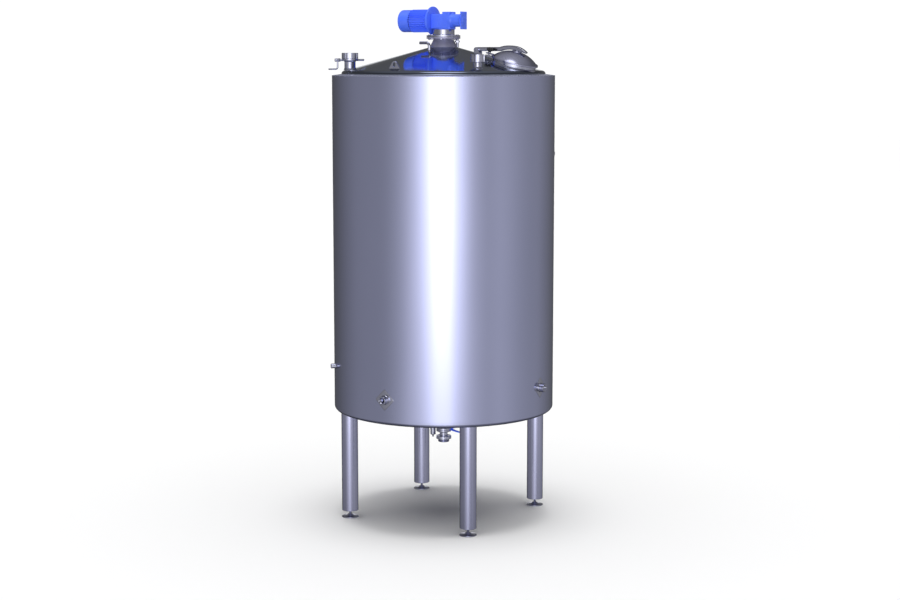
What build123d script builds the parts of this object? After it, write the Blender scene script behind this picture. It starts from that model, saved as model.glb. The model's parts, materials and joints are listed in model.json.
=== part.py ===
"""Upright insulated milk tank with a top agitator, manway, nozzles, bottom outlet valve and four legs.

Millimetres. Origin on the floor under the tank axis, +Z up, the drive motor points along -X.
"""
from build123d import *
from math import cos, pi, radians, sin, sqrt, tan
import os

# ---- clearances -----------------------------------------------------------------------------
weld_gap = 0.1          # between curved pieces that are welded or pressed together
free_gap = 0.3          # between pieces that move past each other
run_gap = 0.05          # radial clearance of a shaft or pin that turns in its bore

# ---- vessel, jacket and cladding ------------------------------------------------------------
vessel_radius = 700.0
vessel_wall = 4.0
plate_count = 8            # welded plates round the shell, roof, bottom and cladding
shell_height = 2181.0
roof_angle = 15.0
roof_skirt = 54.0        # straight edge of the roof below its corner
roof_knuckle = 25.0
bottom_slope = 5.0
bottom_knuckle = 40.0
bottom_skirt = 6.0         # straight edge of the bottom above its knuckle
insulation_thickness = 62.0
cladding_sheet = 3.0
cladding_knuckle = 45.0
cladding_skirt = 4.0       # straight edge of the cladding floor above its knuckle
cladding_top_drop = 28.0   # from the roof's corner down to the flat cladding edge
cladding_floor_gap = 11.0  # from the support ring's top down to the end of the straight cladding
closing_rise = 8.0
jacket_sheet = 2.0
jacket_depth = 13.0
jacket_channel = 70.0
jacket_land = 22.0
jacket_channels = 18
jacket_start = 162.0       # above the bottom of the straight shell

# ---- legs and feet --------------------------------------------------------------------------
leg_radius = 57.15
leg_wall = 3.0
leg_length = 751.0
leg_inset = 26.0           # leg axis inside the vessel's outer surface
leg_plate = 10.0
leg_lift = 49.0            # leg end above the floor
foot_radius = 59.0
foot_thickness = 7.0
spindle_radius = 8.0
spindle_length = 118.0
ring_width = 123.0
ring_thickness = 12.0

# ---- agitator and its mounting --------------------------------------------------------------
shaft_radius = 20.0
journal_radius = 15.0
shaft_floor_gap = 130.0    # shaft end above the vessel's bottom
impeller_radius = 290.0
impeller_width = 90.0
impeller_thickness = 8.0
impeller_hub = 34.0
impeller_levels = (60.0, 950.0)   # hub centres above the shaft's end
neck_radius = 67.0
neck_foot = 90.0
neck_wall = 4.0
neck_height = 31.0         # flange underside above the roof's virtual apex
flange_radius = 116.0
flange_thickness = 11.0
flange_bore = 35.0
flange_bolts = 8
bolt_circle = 98.0
bolt_radius = 6.0
bolt_head = 5.0
bolt_flats = 18.0
neck_seal_thickness = 1.5
lantern_radius = 76.0
lantern_wall = 6.0
lantern_height = 50.0
seal_radius = 56.0
seal_height = 18.0

# ---- drive ----------------------------------------------------------------------------------
motor_rise = 59.5          # motor axis above the lantern's top
gear_half_width = 42.5
gear_wall = 6.0
gear_low_x = -77.0
gear_step_x = 13.0
gear_block_x = 73.0
gear_end_x = 155.0
gear_box_low = 5.0         # adapter's underside above the lantern's top
gear_box_high = 105.0
gear_block_high = 119.0
gear_neck_radius = 43.0
gear_cover_thickness = 10.0
gear_cover_half_width = 40.0
bearing_radius = 34.0
bearing_width = 15.0
wheel_teeth = 36
pinion_teeth = 12
wheel_pitch_radius = 32.0
tooth_scale = 0.74         # small end of the bevel teeth, as a share of the large end
hollow_shaft_wall = 5.0
motor_flange_radius = 97.0
motor_flange_thickness = 12.0
motor_length = 154.0
motor_bore = 58.0
motor_body_radius = 65.0
motor_fin_radius = 78.0
motor_fins = 30
motor_fin_thickness = 3.0
motor_shield_length = 23.0
motor_end_wall = 11.0
rotor_radius = 35.0
rotor_length = 84.0
stator_length = 100.0
stator_bore = 35.6
motor_shaft_radius = 12.0
motor_bearing_radius = 20.0
motor_bearing_width = 9.0
pinion_shank = 7.0
cowl_length = 87.0
cowl_radius = 76.0
cowl_sheet = 2.5
fan_radius = 60.0
fan_blades = 7

# ---- manway ---------------------------------------------------------------------------------
manway_inset = 151.0       # manway centre inside the vessel's outer surface
collar_radius = 148.0
collar_wall = 4.0
collar_height = 28.0
lid_radius = 160.0
lid_sheet = 3.0
lid_sphere = 217.6
lid_rim_radius = 158.0
lid_rim_level = 26.7
lid_seal_height = 2.7
arm_gap = 4.4
arm_depth = 28.5
arm_width = 36.0
arm_low_angle = -17.0
arm_high_angle = 33.0
hinge_x = 277.0            # hinge pin inside the manway's centre
hinge_pin_radius = 6.0
hinge_barrel = 15.0
ear_thickness = 9.0
clamp_offset = 178.0
clamp_spread = 47.0
clamp_screw_radius = 5.0
clamp_plate = 8.0
knob_radius = 24.0
knob_height = 32.0
knob_lobes = 6

# ---- nozzles on the roof --------------------------------------------------------------------
inlet_inset = 48.0
inlet_angle = 225.0
inlet_outer = 38.0
inlet_bore = 33.5
inlet_mouth = 35.0         # wider seat for a hose tail at the top
inlet_mouth_depth = 12.0
inlet_pipe_level = 70.0    # valve stem above the roof surface at the nozzle
inlet_flange_radius = 56.0
inlet_flange_height = 14.0
inlet_nut_height = 40.0
inlet_stem_radius = 6.0
inlet_disc_thickness = 5.0
inlet_boss = 7.5
lever_rod = 5.5
lever_drop = 61.0
lever_reach = 60.0
cip_inset = 100.0
cip_angle = -37.2
cip_outer = 26.5
cip_bore = 25.0
cip_height = 85.0
cip_nut_radius = 46.0
cip_nut_height = 49.0
cip_drop = 150.0
spray_radius = 33.0
vent_radius = 10.0
vent_wall = 1.5
vent_circle = 187.0
vent_height = 52.0
vent_arm = 74.0
vent_bend = 22.0
probe_circle = 186.0
probe_radius = 10.5
probe_height = 92.0
probe_depth = 300.0
lug_circle = 622.0
lug_width = 80.0
lug_top_width = 42.0
lug_height = 47.0
lug_thickness = 12.0
lug_hole = 9.0
lug_slot = 30.0

# ---- sockets in the wall --------------------------------------------------------------------
sleeve_radius = 29.0
sleeve_bore = 21.0
sleeve_reach = 38.0
front_sleeve_level = 67.0   # above the bottom of the straight shell
side_sleeve_level = 102.0
rosette_side = 105.0
rosette_sheet = 2.0
socket_radius = 16.5
socket_bore = 11.0
socket_reach = 37.0
socket_low = 216.0
socket_high = 1660.0

# ---- outlet ---------------------------------------------------------------------------------
outlet_outer = 26.5
outlet_bore = 25.0
adapter_bore = 23.0
outlet_drop = 150.0        # valve top below the vessel's bottom
valve_radius = 52.0
valve_height = 36.0
valve_stem_radius = 6.0
valve_disc_thickness = 5.0
handle_offset = 50.0
handle_length = 158.0
handle_thickness = 10.0
adapter_neck = 28.0
adapter_neck_length = 27.0
outlet_nut_radius = 53.5
outlet_nut_height = 22.0
male_radius = 39.0
male_length = 21.0
cock_offset = 88.0
cock_radius = 19.0

# ---- places that follow from the sizes above ------------------------------------------------
cladding_radius = vessel_radius + insulation_thickness + cladding_sheet
leg_circle = vessel_radius - leg_inset
ring_base = leg_lift + leg_length
ring_top = ring_base + ring_thickness
seat_radius = vessel_radius - bottom_knuckle - 5
bottom_corner = ring_top + weld_gap + (vessel_radius - seat_radius) * tan(radians(bottom_slope))
shell_base = bottom_corner + bottom_knuckle * tan(radians(45 - bottom_slope / 2)) + bottom_skirt
shell_top = shell_base + shell_height
roof_corner = shell_top + roof_skirt
roof_apex = roof_corner + vessel_radius * tan(radians(roof_angle))
cladding_base_level = ring_top - cladding_floor_gap
cladding_top = roof_corner - cladding_top_drop
flange_base = roof_apex + neck_height
flange_top = flange_base + flange_thickness
lantern_base = flange_top + neck_seal_thickness
lantern_top = lantern_base + lantern_height
motor_axis = lantern_top + motor_rise
shaft_end = bottom_corner - seat_radius * tan(radians(bottom_slope)) + shaft_floor_gap
motor_front = gear_low_x - motor_flange_thickness
motor_rear = motor_front - motor_length
pinion_pitch_radius = wheel_pitch_radius * pinion_teeth / wheel_teeth


def roof_level(radius):
    """Height of the roof's outer surface at a distance from the axis."""
    return roof_apex - radius * tan(radians(roof_angle))


def bottom_level(radius):
    """Height of the vessel bottom's outer surface at a distance from the axis."""
    return bottom_corner - (vessel_radius - radius) * tan(radians(bottom_slope))


def block(x, y, z):
    """Box between three (low, high) pairs."""
    centre = Pos((x[0] + x[1]) / 2, (y[0] + y[1]) / 2, (z[0] + z[1]) / 2)
    return centre * Box(x[1] - x[0], y[1] - y[0], z[1] - z[0])


def rod(radius, low, high):
    """Round bar along Z between two heights."""
    return Pos(0, 0, (low + high) / 2) * Cylinder(radius, high - low)


def tube(outer, inner, low, high):
    """Round tube along Z between two heights."""
    return rod(outer, low, high) - rod(inner, low - 1, high + 1)


def turned(points):
    """Solid turned about Z from a closed outline of (radius, height) points."""
    return revolve(Plane.XZ * make_face(Polyline(*points, close=True)), Axis.Z)


def bent_sheet(outer, inner, outer_bend, inner_bend):
    """Sheet turned about Z: two three-point outlines, each with its corner rounded."""
    outside = FilletPolyline(*outer, radius=outer_bend)
    inside = FilletPolyline(*inner, radius=inner_bend)
    ends = [Line(outer[0], inner[0]), Line(outer[-1], inner[-1])]
    edges = [*outside.edges(), *inside.edges(), *[end.edge() for end in ends]]
    return revolve(Plane.XZ * make_face(edges), Axis.Z)


def gores(shape, place=Pos(0, 0, 0)):
    """The welded plates that the shape is made of: it is parted by planes through the place's axis."""
    half = radians(180 / plate_count)
    reach = 5000.0
    outline = Polyline((0, 0), (reach, -reach * tan(half)), (reach, reach * tan(half)), close=True)
    wedge = Pos(0, 0, -reach) * extrude(make_face(outline), 2 * reach)
    plates = []
    for number in range(plate_count):
        plates += (shape & (place * Rot(0, 0, 360 / plate_count * number) * wedge)).solids()
    return plates


def around(angle, radius=0.0, height=0.0):
    """Place at an angle round the tank axis, with local +X pointing outwards."""
    return Rot(0, 0, angle) * Pos(radius, 0, height)


def lying_x(height):
    """Local Z becomes +X, on the line at this height through the tank axis."""
    return Pos(0, 0, height) * Rot(0, 90, 0)


def roof_body(offset):
    """Everything below the roof surface raised by an offset: cuts feet to fit the cone."""
    apex = roof_apex + offset / cos(radians(roof_angle))
    low = apex - 900 * tan(radians(roof_angle))
    return turned([(0, low - 400), (900, low - 400), (900, low), (0, apex)])


def manway_place():
    """Local frame on the roof: +Z along the manway axis, +X down the slope."""
    centre = vessel_radius - manway_inset
    return Pos(centre, 0, roof_level(centre)) * Rot(0, roof_angle, 0)


def roof_holes():
    """Drills for everything that passes through the roof."""
    inlet_at = around(inlet_angle, vessel_radius - inlet_inset)
    cip_at = around(cip_angle, vessel_radius - cip_inset)
    low = roof_corner - 80
    high = roof_apex + 50
    cuts = [
        rod(neck_foot + weld_gap, low, high),
        inlet_at * rod(inlet_outer + weld_gap, low, high),
        cip_at * rod(cip_outer + weld_gap, low, high),
        around(-90, vent_circle) * rod(vent_radius + weld_gap, low, high),
        around(90, probe_circle) * rod(probe_radius + weld_gap, low, high),
        manway_place() * rod(collar_radius + weld_gap, -60, 60),
    ]
    return cuts


# ---- vessel ---------------------------------------------------------------------------------
def vessel():
    wall_drop = vessel_wall / cos(radians(roof_angle))
    inner_radius = vessel_radius - vessel_wall
    shell = tube(vessel_radius, inner_radius, shell_base, shell_top)
    roof = bent_sheet(
        [(vessel_radius, shell_top), (vessel_radius, roof_corner), (20, roof_level(20))],
        [(inner_radius, shell_top), (inner_radius, roof_level(inner_radius) - wall_drop),
         (20, roof_level(20) - wall_drop)],
        roof_knuckle, roof_knuckle - vessel_wall)
    for cut in roof_holes():
        roof -= cut
    lift = vessel_wall / cos(radians(bottom_slope))
    hole = outlet_outer + weld_gap
    bottom = bent_sheet(
        [(vessel_radius, shell_base), (vessel_radius, bottom_corner), (hole, bottom_level(hole))],
        [(inner_radius, shell_base), (inner_radius, bottom_level(inner_radius) + lift),
         (hole, bottom_level(hole) + lift)],
        bottom_knuckle, bottom_knuckle - vessel_wall)
    for place in sleeve_places():
        shell -= place * rod(sleeve_radius + weld_gap, vessel_radius - 60, vessel_radius + 60)
    manway_plate, *roof_plates = gores(roof)
    roof_plates += gores(manway_plate, manway_place())
    return {"vessel_shell": Compound(children=gores(shell)), "vessel_roof": Compound(children=roof_plates),
            "vessel_bottom": Compound(children=gores(bottom))}


def sleeve_places():
    """Frames of the two sensor sleeves: local +Z points outwards."""
    low, side = shell_base + front_sleeve_level, shell_base + side_sleeve_level
    return [Pos(0, 0, low) * Rot(90, 0, 0), Pos(0, 0, side) * Rot(0, 90, 0)]


def socket_places():
    """Frames of the jacket's two sockets: local +Z points outwards."""
    spots = ((225, shell_base + socket_low), (45, shell_base + socket_high))
    return [Pos(0, 0, level) * Rot(0, 0, angle) * Rot(0, 90, 0) for angle, level in spots]


def jacket():
    """Sheet with raised channels that run round the vessel."""
    base = vessel_radius + weld_gap
    crest = base + jacket_depth
    pitch = jacket_channel + jacket_land
    start = shell_base + jacket_start
    outer, inner = [], []
    for number in range(jacket_channels):
        low = start + number * pitch
        high = low + jacket_channel
        outer += [(base + jacket_sheet, low), (crest, low + 8), (crest, high - 8), (base + jacket_sheet, high)]
        inner += [(base, low + jacket_sheet), (crest - jacket_sheet, low + 10),
                  (crest - jacket_sheet, high - 10), (base, high - jacket_sheet)]
    first, last = start - jacket_land, start + jacket_channels * pitch
    outline = [(base, first), (base + jacket_sheet, first), *outer, (base + jacket_sheet, last),
               (base, last), *reversed(inner)]
    sheet = turned(outline)
    for place in socket_places():
        sheet -= place * rod(socket_radius + weld_gap, vessel_radius + 3, vessel_radius + 90)
    return {"cooling_jacket": sheet}


def cladding():
    inside = cladding_radius - cladding_sheet
    skin = tube(cladding_radius, inside, cladding_base_level, cladding_top - cladding_sheet)
    foam_bore = vessel_radius + weld_gap + jacket_depth + 0.5
    foam = tube(inside - weld_gap, foam_bore, shell_base + 10, shell_top - 10)
    for place in sleeve_places():
        reach = rod(sleeve_radius + weld_gap, vessel_radius - 60, cladding_radius + 60)
        skin -= place * reach
        foam -= place * reach
    for place in socket_places():
        reach = rod(socket_radius + weld_gap, vessel_radius - 20, cladding_radius + 60)
        skin -= place * reach
        foam -= place * reach
    slope = tan(radians(bottom_slope))
    corner = cladding_base_level - cladding_knuckle * tan(radians(45 - bottom_slope / 2)) - cladding_skirt
    centre_hole = outlet_outer + 20
    floor = bent_sheet(
        [(cladding_radius, cladding_base_level), (cladding_radius, corner),
         (centre_hole, corner - (cladding_radius - centre_hole) * slope)],
        [(inside, cladding_base_level), (inside, corner + cladding_sheet * (1 - slope)),
         (centre_hole, corner + cladding_sheet - (cladding_radius - centre_hole) * slope)],
        cladding_knuckle, cladding_knuckle - cladding_sheet)
    for angle in (45, 135, 225, 315):
        floor -= around(angle, leg_circle) * rod(leg_radius + weld_gap, leg_lift, ring_base)
    top = cladding_top
    ring = turned([
        (vessel_radius + weld_gap, top + closing_rise), (cladding_radius - 4, top),
        (cladding_radius - 1, top - 1), (cladding_radius, top - cladding_sheet),
        (cladding_radius - 6, top - cladding_sheet),
        (vessel_radius + weld_gap, top + closing_rise - cladding_sheet)])
    return {"cladding_shell": Compound(children=gores(skin)), "cladding_floor": floor,
            "closing_ring": ring, "insulation": foam}


# ---- legs -----------------------------------------------------------------------------------
def leg_frame():
    inner_radius = vessel_radius - 88
    flat = bottom_level(seat_radius) - weld_gap
    low = bottom_level(inner_radius) - weld_gap
    ring = turned([(inner_radius, ring_base), (inner_radius + ring_width, ring_base),
                   (inner_radius + ring_width, flat), (seat_radius, flat), (inner_radius, low)])
    leg = tube(leg_radius, leg_radius - leg_wall, leg_lift, ring_base)
    plate = tube(leg_radius - leg_wall + 1, spindle_radius + run_gap, leg_lift, leg_lift + leg_plate)
    angles = {"front_left": 225, "front_right": 315, "rear_right": 45, "rear_left": 135}
    legs = Compound(children=[around(angle, leg_circle) * (leg + plate) for angle in angles.values()])
    parts = {"support_ring": ring, "legs": legs}
    for side, angle in angles.items():
        parts["foot_" + side] = around(angle, leg_circle) * foot()
    return parts


def foot():
    """Levelling foot: pad, domed boss and spindle."""
    pad = turned([(0, 0), (foot_radius, 0), (foot_radius, foot_thickness - 3),
                  (foot_radius - 3, foot_thickness), (22, foot_thickness + 3), (16, foot_thickness + 14),
                  (spindle_radius, foot_thickness + 14), (spindle_radius, spindle_length),
                  (0, spindle_length)])
    return pad


# ---- agitator -------------------------------------------------------------------------------
def hexagon(flats, low, high):
    """Hexagonal prism along Z."""
    return Pos(0, 0, low) * extrude(RegularPolygon(flats / sqrt(3), 6), high - low)


def bolt_spots():
    return [around(360 / flange_bolts * (n + 0.5), bolt_circle) for n in range(flange_bolts)]


def agitator_mount():
    shoulder = roof_level(neck_foot)
    outer = [(neck_foot, shoulder - 14), (neck_foot, shoulder + 6), (neck_foot - 6, shoulder + 16),
             (neck_radius, shoulder + 34), (neck_radius, flange_base), (flange_radius, flange_base),
             (flange_radius, flange_top), (flange_bore, flange_top), (flange_bore, flange_base - 1),
             (neck_radius - neck_wall, flange_base - 1), (neck_radius - neck_wall, shoulder + 32),
             (neck_foot - 6 - neck_wall, shoulder + 14), (neck_foot - neck_wall, shoulder + 4),
             (neck_foot - neck_wall, shoulder - 14)]
    neck = turned(outer)
    seal_bore = seal_radius + 4
    gasket = tube(bolt_circle - bolt_radius - 4, seal_bore, flange_top, lantern_base)
    upper = tube(flange_radius, seal_bore, lantern_base, lantern_base + flange_thickness)
    wall = tube(lantern_radius, lantern_radius - lantern_wall, lantern_base + flange_thickness - 1, lantern_top)
    deck = tube(lantern_radius, journal_radius + 15, lantern_top - 8, lantern_top)
    lantern = upper + wall + deck
    for place in bolt_spots():
        drill = place * rod(bolt_radius + free_gap, flange_base - 5, lantern_base + 20)
        neck -= drill
        lantern -= drill
    seal = tube(seal_radius, shaft_radius + run_gap, flange_top, flange_top + seal_height)
    head_base = lantern_base + flange_thickness
    bolt = (hexagon(bolt_flats, head_base, head_base + bolt_head)
            + rod(bolt_radius, flange_base - bolt_head - 3, head_base + 1)
            + hexagon(bolt_flats, flange_base - bolt_head, flange_base))
    bolts = Compound(children=[place * bolt for place in bolt_spots()])
    return {"agitator_neck": neck, "neck_gasket": gasket, "lantern": lantern, "shaft_seal": seal,
            "flange_bolts": bolts}


def agitator():
    step = flange_top + seal_height + 4
    top = motor_axis + 30
    shaft = rod(shaft_radius, shaft_end, step) + rod(journal_radius, step - 1, top)
    hub = tube(impeller_hub, shaft_radius + run_gap, -45, 45)
    reach = impeller_radius - impeller_hub + 8
    blade = Pos(impeller_hub - 8 + reach / 2, 0, 0) * Rot(45, 0, 0) * Box(reach, impeller_thickness, impeller_width)
    wheel = hub
    for angle in (0, 120, 240):
        wheel += Rot(0, 0, angle) * blade
    wheel -= rod(shaft_radius + run_gap, -80, 80)
    impellers = [Pos(0, 0, shaft_end + level) * Rot(0, 0, 20 + level / 30) * wheel
                 for level in impeller_levels]
    hollow = tube(journal_radius + run_gap + hollow_shaft_wall, journal_radius + run_gap,
                  lantern_top + 2, motor_axis + 28)
    return {"agitator_shaft": shaft, "hollow_shaft": hollow, "impellers": Compound(children=impellers)}


# ---- gear unit ------------------------------------------------------------------------------
def bevel_gear(teeth, pitch_radius, mate_radius, hub_depth):
    """Straight bevel gear below its apex at the origin, axis Z, one tooth centred on +X."""
    reach = sqrt(pitch_radius ** 2 + mate_radius ** 2)
    out_r, out_z = mate_radius / reach, pitch_radius / reach
    pitch = 2 * pi * pitch_radius / teeth
    addendum, dedendum = 0.22 * pitch, 0.36 * pitch

    def corner(height, half_width, scale):
        return (scale * (pitch_radius + height * out_r), scale * half_width,
                scale * (-mate_radius + height * out_z))

    def section(scale):
        low, high = -dedendum - 0.4, addendum
        points = [corner(low, 0.30 * pitch, scale), corner(high, 0.12 * pitch, scale),
                  corner(high, -0.12 * pitch, scale), corner(low, -0.30 * pitch, scale)]
        return Face(Wire.make_polygon([Vector(*p) for p in points]))

    tooth = loft([section(1.0), section(tooth_scale)], ruled=True)
    root_r = pitch_radius - dedendum * out_r
    root_z = -mate_radius - dedendum * out_z
    blank = turned([(0, root_z * tooth_scale), (root_r * tooth_scale, root_z * tooth_scale),
                    (root_r, root_z), (root_r * 0.9, root_z - hub_depth), (0, root_z - hub_depth)])
    for number in range(teeth):
        blank += Rot(0, 0, 360 / teeth * number) * tooth
    return blank


def gear_unit():
    width = (-gear_half_width, gear_half_width)
    inner_width = (-gear_half_width + gear_wall, gear_half_width - gear_wall)
    low, high = lantern_top + gear_box_low, lantern_top + gear_box_high
    block_high = lantern_top + gear_block_high
    body = (block((gear_low_x, gear_step_x), width, (low, high))
            + block((gear_step_x, gear_block_x), width, (lantern_top, block_high))
            + lying_x(motor_axis) * rod(gear_neck_radius, gear_block_x - 5, gear_end_x)
            + rod(gear_half_width - 0.5, lantern_top, low + 2))
    cavity_low, cavity_high = low + gear_wall, high - gear_wall
    body -= block((gear_low_x + 14, gear_block_x - gear_wall), inner_width, (cavity_low, cavity_high))
    body -= lying_x(motor_axis) * rod(gear_neck_radius - gear_wall - 2, gear_block_x - 15, gear_end_x + 1)
    low_seat = cavity_low + 3
    high_seat = motor_axis + 28 - bearing_width
    boss_radius = bearing_radius + 5
    body += tube(boss_radius, bearing_radius + weld_gap, cavity_low - 1, low_seat + bearing_width)
    body += tube(boss_radius, bearing_radius + weld_gap, high_seat, cavity_high + 1)
    ring_radius = journal_radius + run_gap + hollow_shaft_wall
    body -= rod(bearing_radius + weld_gap, low_seat, cavity_high - 2)
    body -= rod(ring_radius + 4, lantern_top - 1, low_seat + 1)
    body -= lying_x(motor_axis) * rod(motor_bearing_radius, gear_low_x - 1, gear_low_x + 16)
    cover = block((gear_end_x, gear_end_x + gear_cover_thickness),
                  (-gear_cover_half_width, gear_cover_half_width), (lantern_top, block_high))
    cut_bore = journal_radius + run_gap + hollow_shaft_wall + run_gap
    wheel = Pos(0, 0, motor_axis) * Rot(0, 0, 180 / wheel_teeth) * bevel_gear(
        wheel_teeth, wheel_pitch_radius, pinion_pitch_radius, 7)
    wheel -= rod(cut_bore, motor_axis - 60, motor_axis + 20)
    pinion = lying_x(motor_axis) * bevel_gear(pinion_teeth, pinion_pitch_radius, wheel_pitch_radius, 3)
    shank_end = gear_low_x - 10
    pinion += lying_x(motor_axis) * rod(pinion_shank, shank_end, -wheel_pitch_radius)
    ring = tube(bearing_radius, ring_radius + run_gap, 0, bearing_width)
    small = tube(motor_bearing_radius, motor_shaft_radius + run_gap, 0, motor_bearing_width)
    bearings = Compound(children=[
        Pos(0, 0, low_seat) * ring, Pos(0, 0, high_seat) * ring,
        lying_x(motor_axis) * Pos(0, 0, motor_front + 1) * small,
        lying_x(motor_axis) * Pos(0, 0, motor_rear + 1) * small])
    return {"gearbox_housing": body, "gearbox_cover": cover, "bevel_wheel": wheel,
            "bevel_pinion": pinion, "bearings": bearings}


# ---- motor ----------------------------------------------------------------------------------
def motor():
    at = lying_x(motor_axis)
    shaft_hole = motor_shaft_radius + 2
    bearing_bore = motor_bearing_radius + weld_gap
    flange = at * (tube(motor_flange_radius, shaft_hole, motor_front, gear_low_x)
                   - rod(bearing_bore, motor_front - 1, motor_front + 1 + motor_bearing_width))
    body = rod(motor_body_radius, motor_rear, motor_front)
    body += rod(motor_body_radius + 6, motor_front - motor_shield_length, motor_front)
    fin_reach = motor_fin_radius - motor_body_radius + 4
    fin_length = motor_length - motor_shield_length
    fin = Pos(motor_body_radius - 4 + fin_reach / 2, 0, motor_rear + fin_length / 2) * Box(
        fin_reach, motor_fin_thickness, fin_length)
    for number in range(motor_fins):
        body += Rot(0, 0, 360 / motor_fins * (number + 0.5)) * fin
    body -= rod(motor_bore, motor_rear + motor_end_wall, motor_front + 1)
    body -= rod(bearing_bore, motor_rear - 1, motor_rear + 1 + motor_bearing_width)
    body -= rod(shaft_hole, motor_rear - 1, motor_front)
    middle = (motor_rear + motor_front) / 2
    stator = at * tube(motor_bore - weld_gap, stator_bore, middle - stator_length / 2, middle + stator_length / 2)
    shaft_low, shaft_high = motor_rear - 52, gear_low_x + 14
    rotor = (rod(rotor_radius, middle - rotor_length / 2, middle + rotor_length / 2)
             + rod(motor_shaft_radius, shaft_low, shaft_high))
    rotor -= rod(pinion_shank + run_gap, gear_low_x - 10, shaft_high + 1)
    fan_base = motor_rear - 48
    fan = tube(22, motor_shaft_radius + run_gap, fan_base, fan_base + 30)
    blade = Pos(21 + (fan_radius - 21) / 2, 0, fan_base + 15) * Rot(12, 0, 0) * Box(fan_radius - 21, 3, 24)
    for number in range(fan_blades):
        fan += Rot(0, 0, 360 / fan_blades * number) * blade
    fan -= rod(motor_shaft_radius + run_gap, fan_base - 1, fan_base + 31)
    cowl_end = motor_rear - cowl_length
    cowl = at * (cowl_shell(cowl_end) - Compound(children=grille(cowl_end)))
    side = motor_fin_radius + weld_gap
    box = block((middle - 42, middle + 38), (side, side + 42), (motor_axis - 38, motor_axis + 38))
    box = fillet(box.edges().filter_by(Axis.Y), 6)
    gland = Pos(middle - 2, side + 20, motor_axis - 38 - 9) * Cylinder(9, 18)
    return {"motor_flange": flange, "motor_housing": at * body, "stator": stator, "rotor": at * rotor,
            "fan": at * fan, "fan_cowl": cowl, "terminal_box": box + gland}


def cowl_shell(end):
    """Fan cowl along Z, closed and rounded at its end."""
    inner = cowl_radius - cowl_sheet
    bend = 16.0
    outside = FilletPolyline((cowl_radius, motor_rear), (cowl_radius, end), (0, end), radius=bend)
    inside = FilletPolyline((inner, motor_rear), (inner, end + cowl_sheet), (0, end + cowl_sheet),
                            radius=bend - cowl_sheet)
    ends = [Line((cowl_radius, motor_rear), (inner, motor_rear)), Line((0, end), (0, end + cowl_sheet))]
    edges = [*outside.edges(), *inside.edges(), *[line.edge() for line in ends]]
    return revolve(Plane.XZ * make_face(edges), Axis.Z) - tube(
        motor_fin_radius + 5, cowl_radius + 5, end - 5, motor_rear + 5)


def grille(end):
    """Round holes in the cowl's end, on two circles."""
    holes = []
    for radius, count in ((22.0, 8), (40.0, 14)):
        for number in range(count):
            holes.append(Rot(0, 0, 360 / count * number) * Pos(radius, 0, end) * Cylinder(5.5, 12))
    return holes


# ---- manway ---------------------------------------------------------------------------------
def manway():
    at = manway_place()
    collar = tube(collar_radius, collar_radius - collar_wall, -22, collar_height)
    lug_low, lug_high = 8, collar_height - 6
    lug = block((-clamp_offset - 18, -collar_radius + 12), (-clamp_spread - 18, -clamp_spread + 18),
                (lug_low, lug_high)) - rod(collar_radius - 1, 0, 40)
    collar += lug
    screw_at = Pos(-clamp_offset, -clamp_spread, 0)
    collar -= screw_at * rod(clamp_screw_radius + 2.2, lug_low - 1, lug_high + 1)
    seal_top = collar_height + free_gap + lid_seal_height
    seal = tube(collar_radius + 4, collar_radius - 6, collar_height + free_gap, seal_top)
    lid = manway_lid_shape(seal_top)
    tongue = block((-clamp_offset - 18, -lid_radius + 14), (-clamp_spread - 18, -clamp_spread + 18),
                   (seal_top - 1, seal_top - 1 + clamp_plate)) - rod(lid_radius - 3, 0, 60)
    lid += tongue
    lid -= screw_at * rod(clamp_screw_radius + run_gap, 0, 60)
    parts = {"manway_collar": at * collar, "manway_gasket": at * seal, "manway_lid": at * lid}
    tongue_top = seal_top - 1 + clamp_plate
    parts["clamp_screw"] = at * screw_at * clamp_screw(lug_low + 2, tongue_top)
    parts["star_knob"] = at * screw_at * star_knob(tongue_top + 6)
    parts.update(lid_hinge())
    return parts


def sphere_level():
    """Centre of the lid's dome along the manway axis."""
    return lid_rim_level - sqrt(lid_sphere ** 2 - lid_rim_radius ** 2)


def manway_lid_shape(seal_top):
    """Domed lid with a rolled rim, along its own axis."""
    centre = sphere_level()
    dome = Pos(0, 0, centre) * (Sphere(lid_sphere) - Sphere(lid_sphere - lid_sheet))
    dome &= rod(lid_radius, lid_rim_level - 1, centre + lid_sphere + 5)
    dome -= rod(collar_radius + 4.3, lid_rim_level - 5, seal_top)
    rim = tube(lid_radius, collar_radius + 4.3, collar_height - 6, seal_top + 2.5)
    shelf = tube(lid_radius - 1, collar_radius - 6, seal_top, seal_top + 2.5)
    return dome + rim + shelf


def clamp_screw(low, collar_level):
    """Screw with a collar that rests on the lid's tongue."""
    return rod(clamp_screw_radius, low, collar_level + 36) + rod(9, collar_level + free_gap, collar_level + 6)


def star_knob(base):
    """Hand knob with round lobes."""
    knob = rod(knob_radius - 7, base, base + knob_height)
    for number in range(knob_lobes):
        knob += Rot(0, 0, 360 / knob_lobes * number) * Pos(knob_radius - 8, 0, 0) * rod(8, base + 8, base + 28)
    return knob - rod(clamp_screw_radius + run_gap, base - 1, base + 30)


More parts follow.
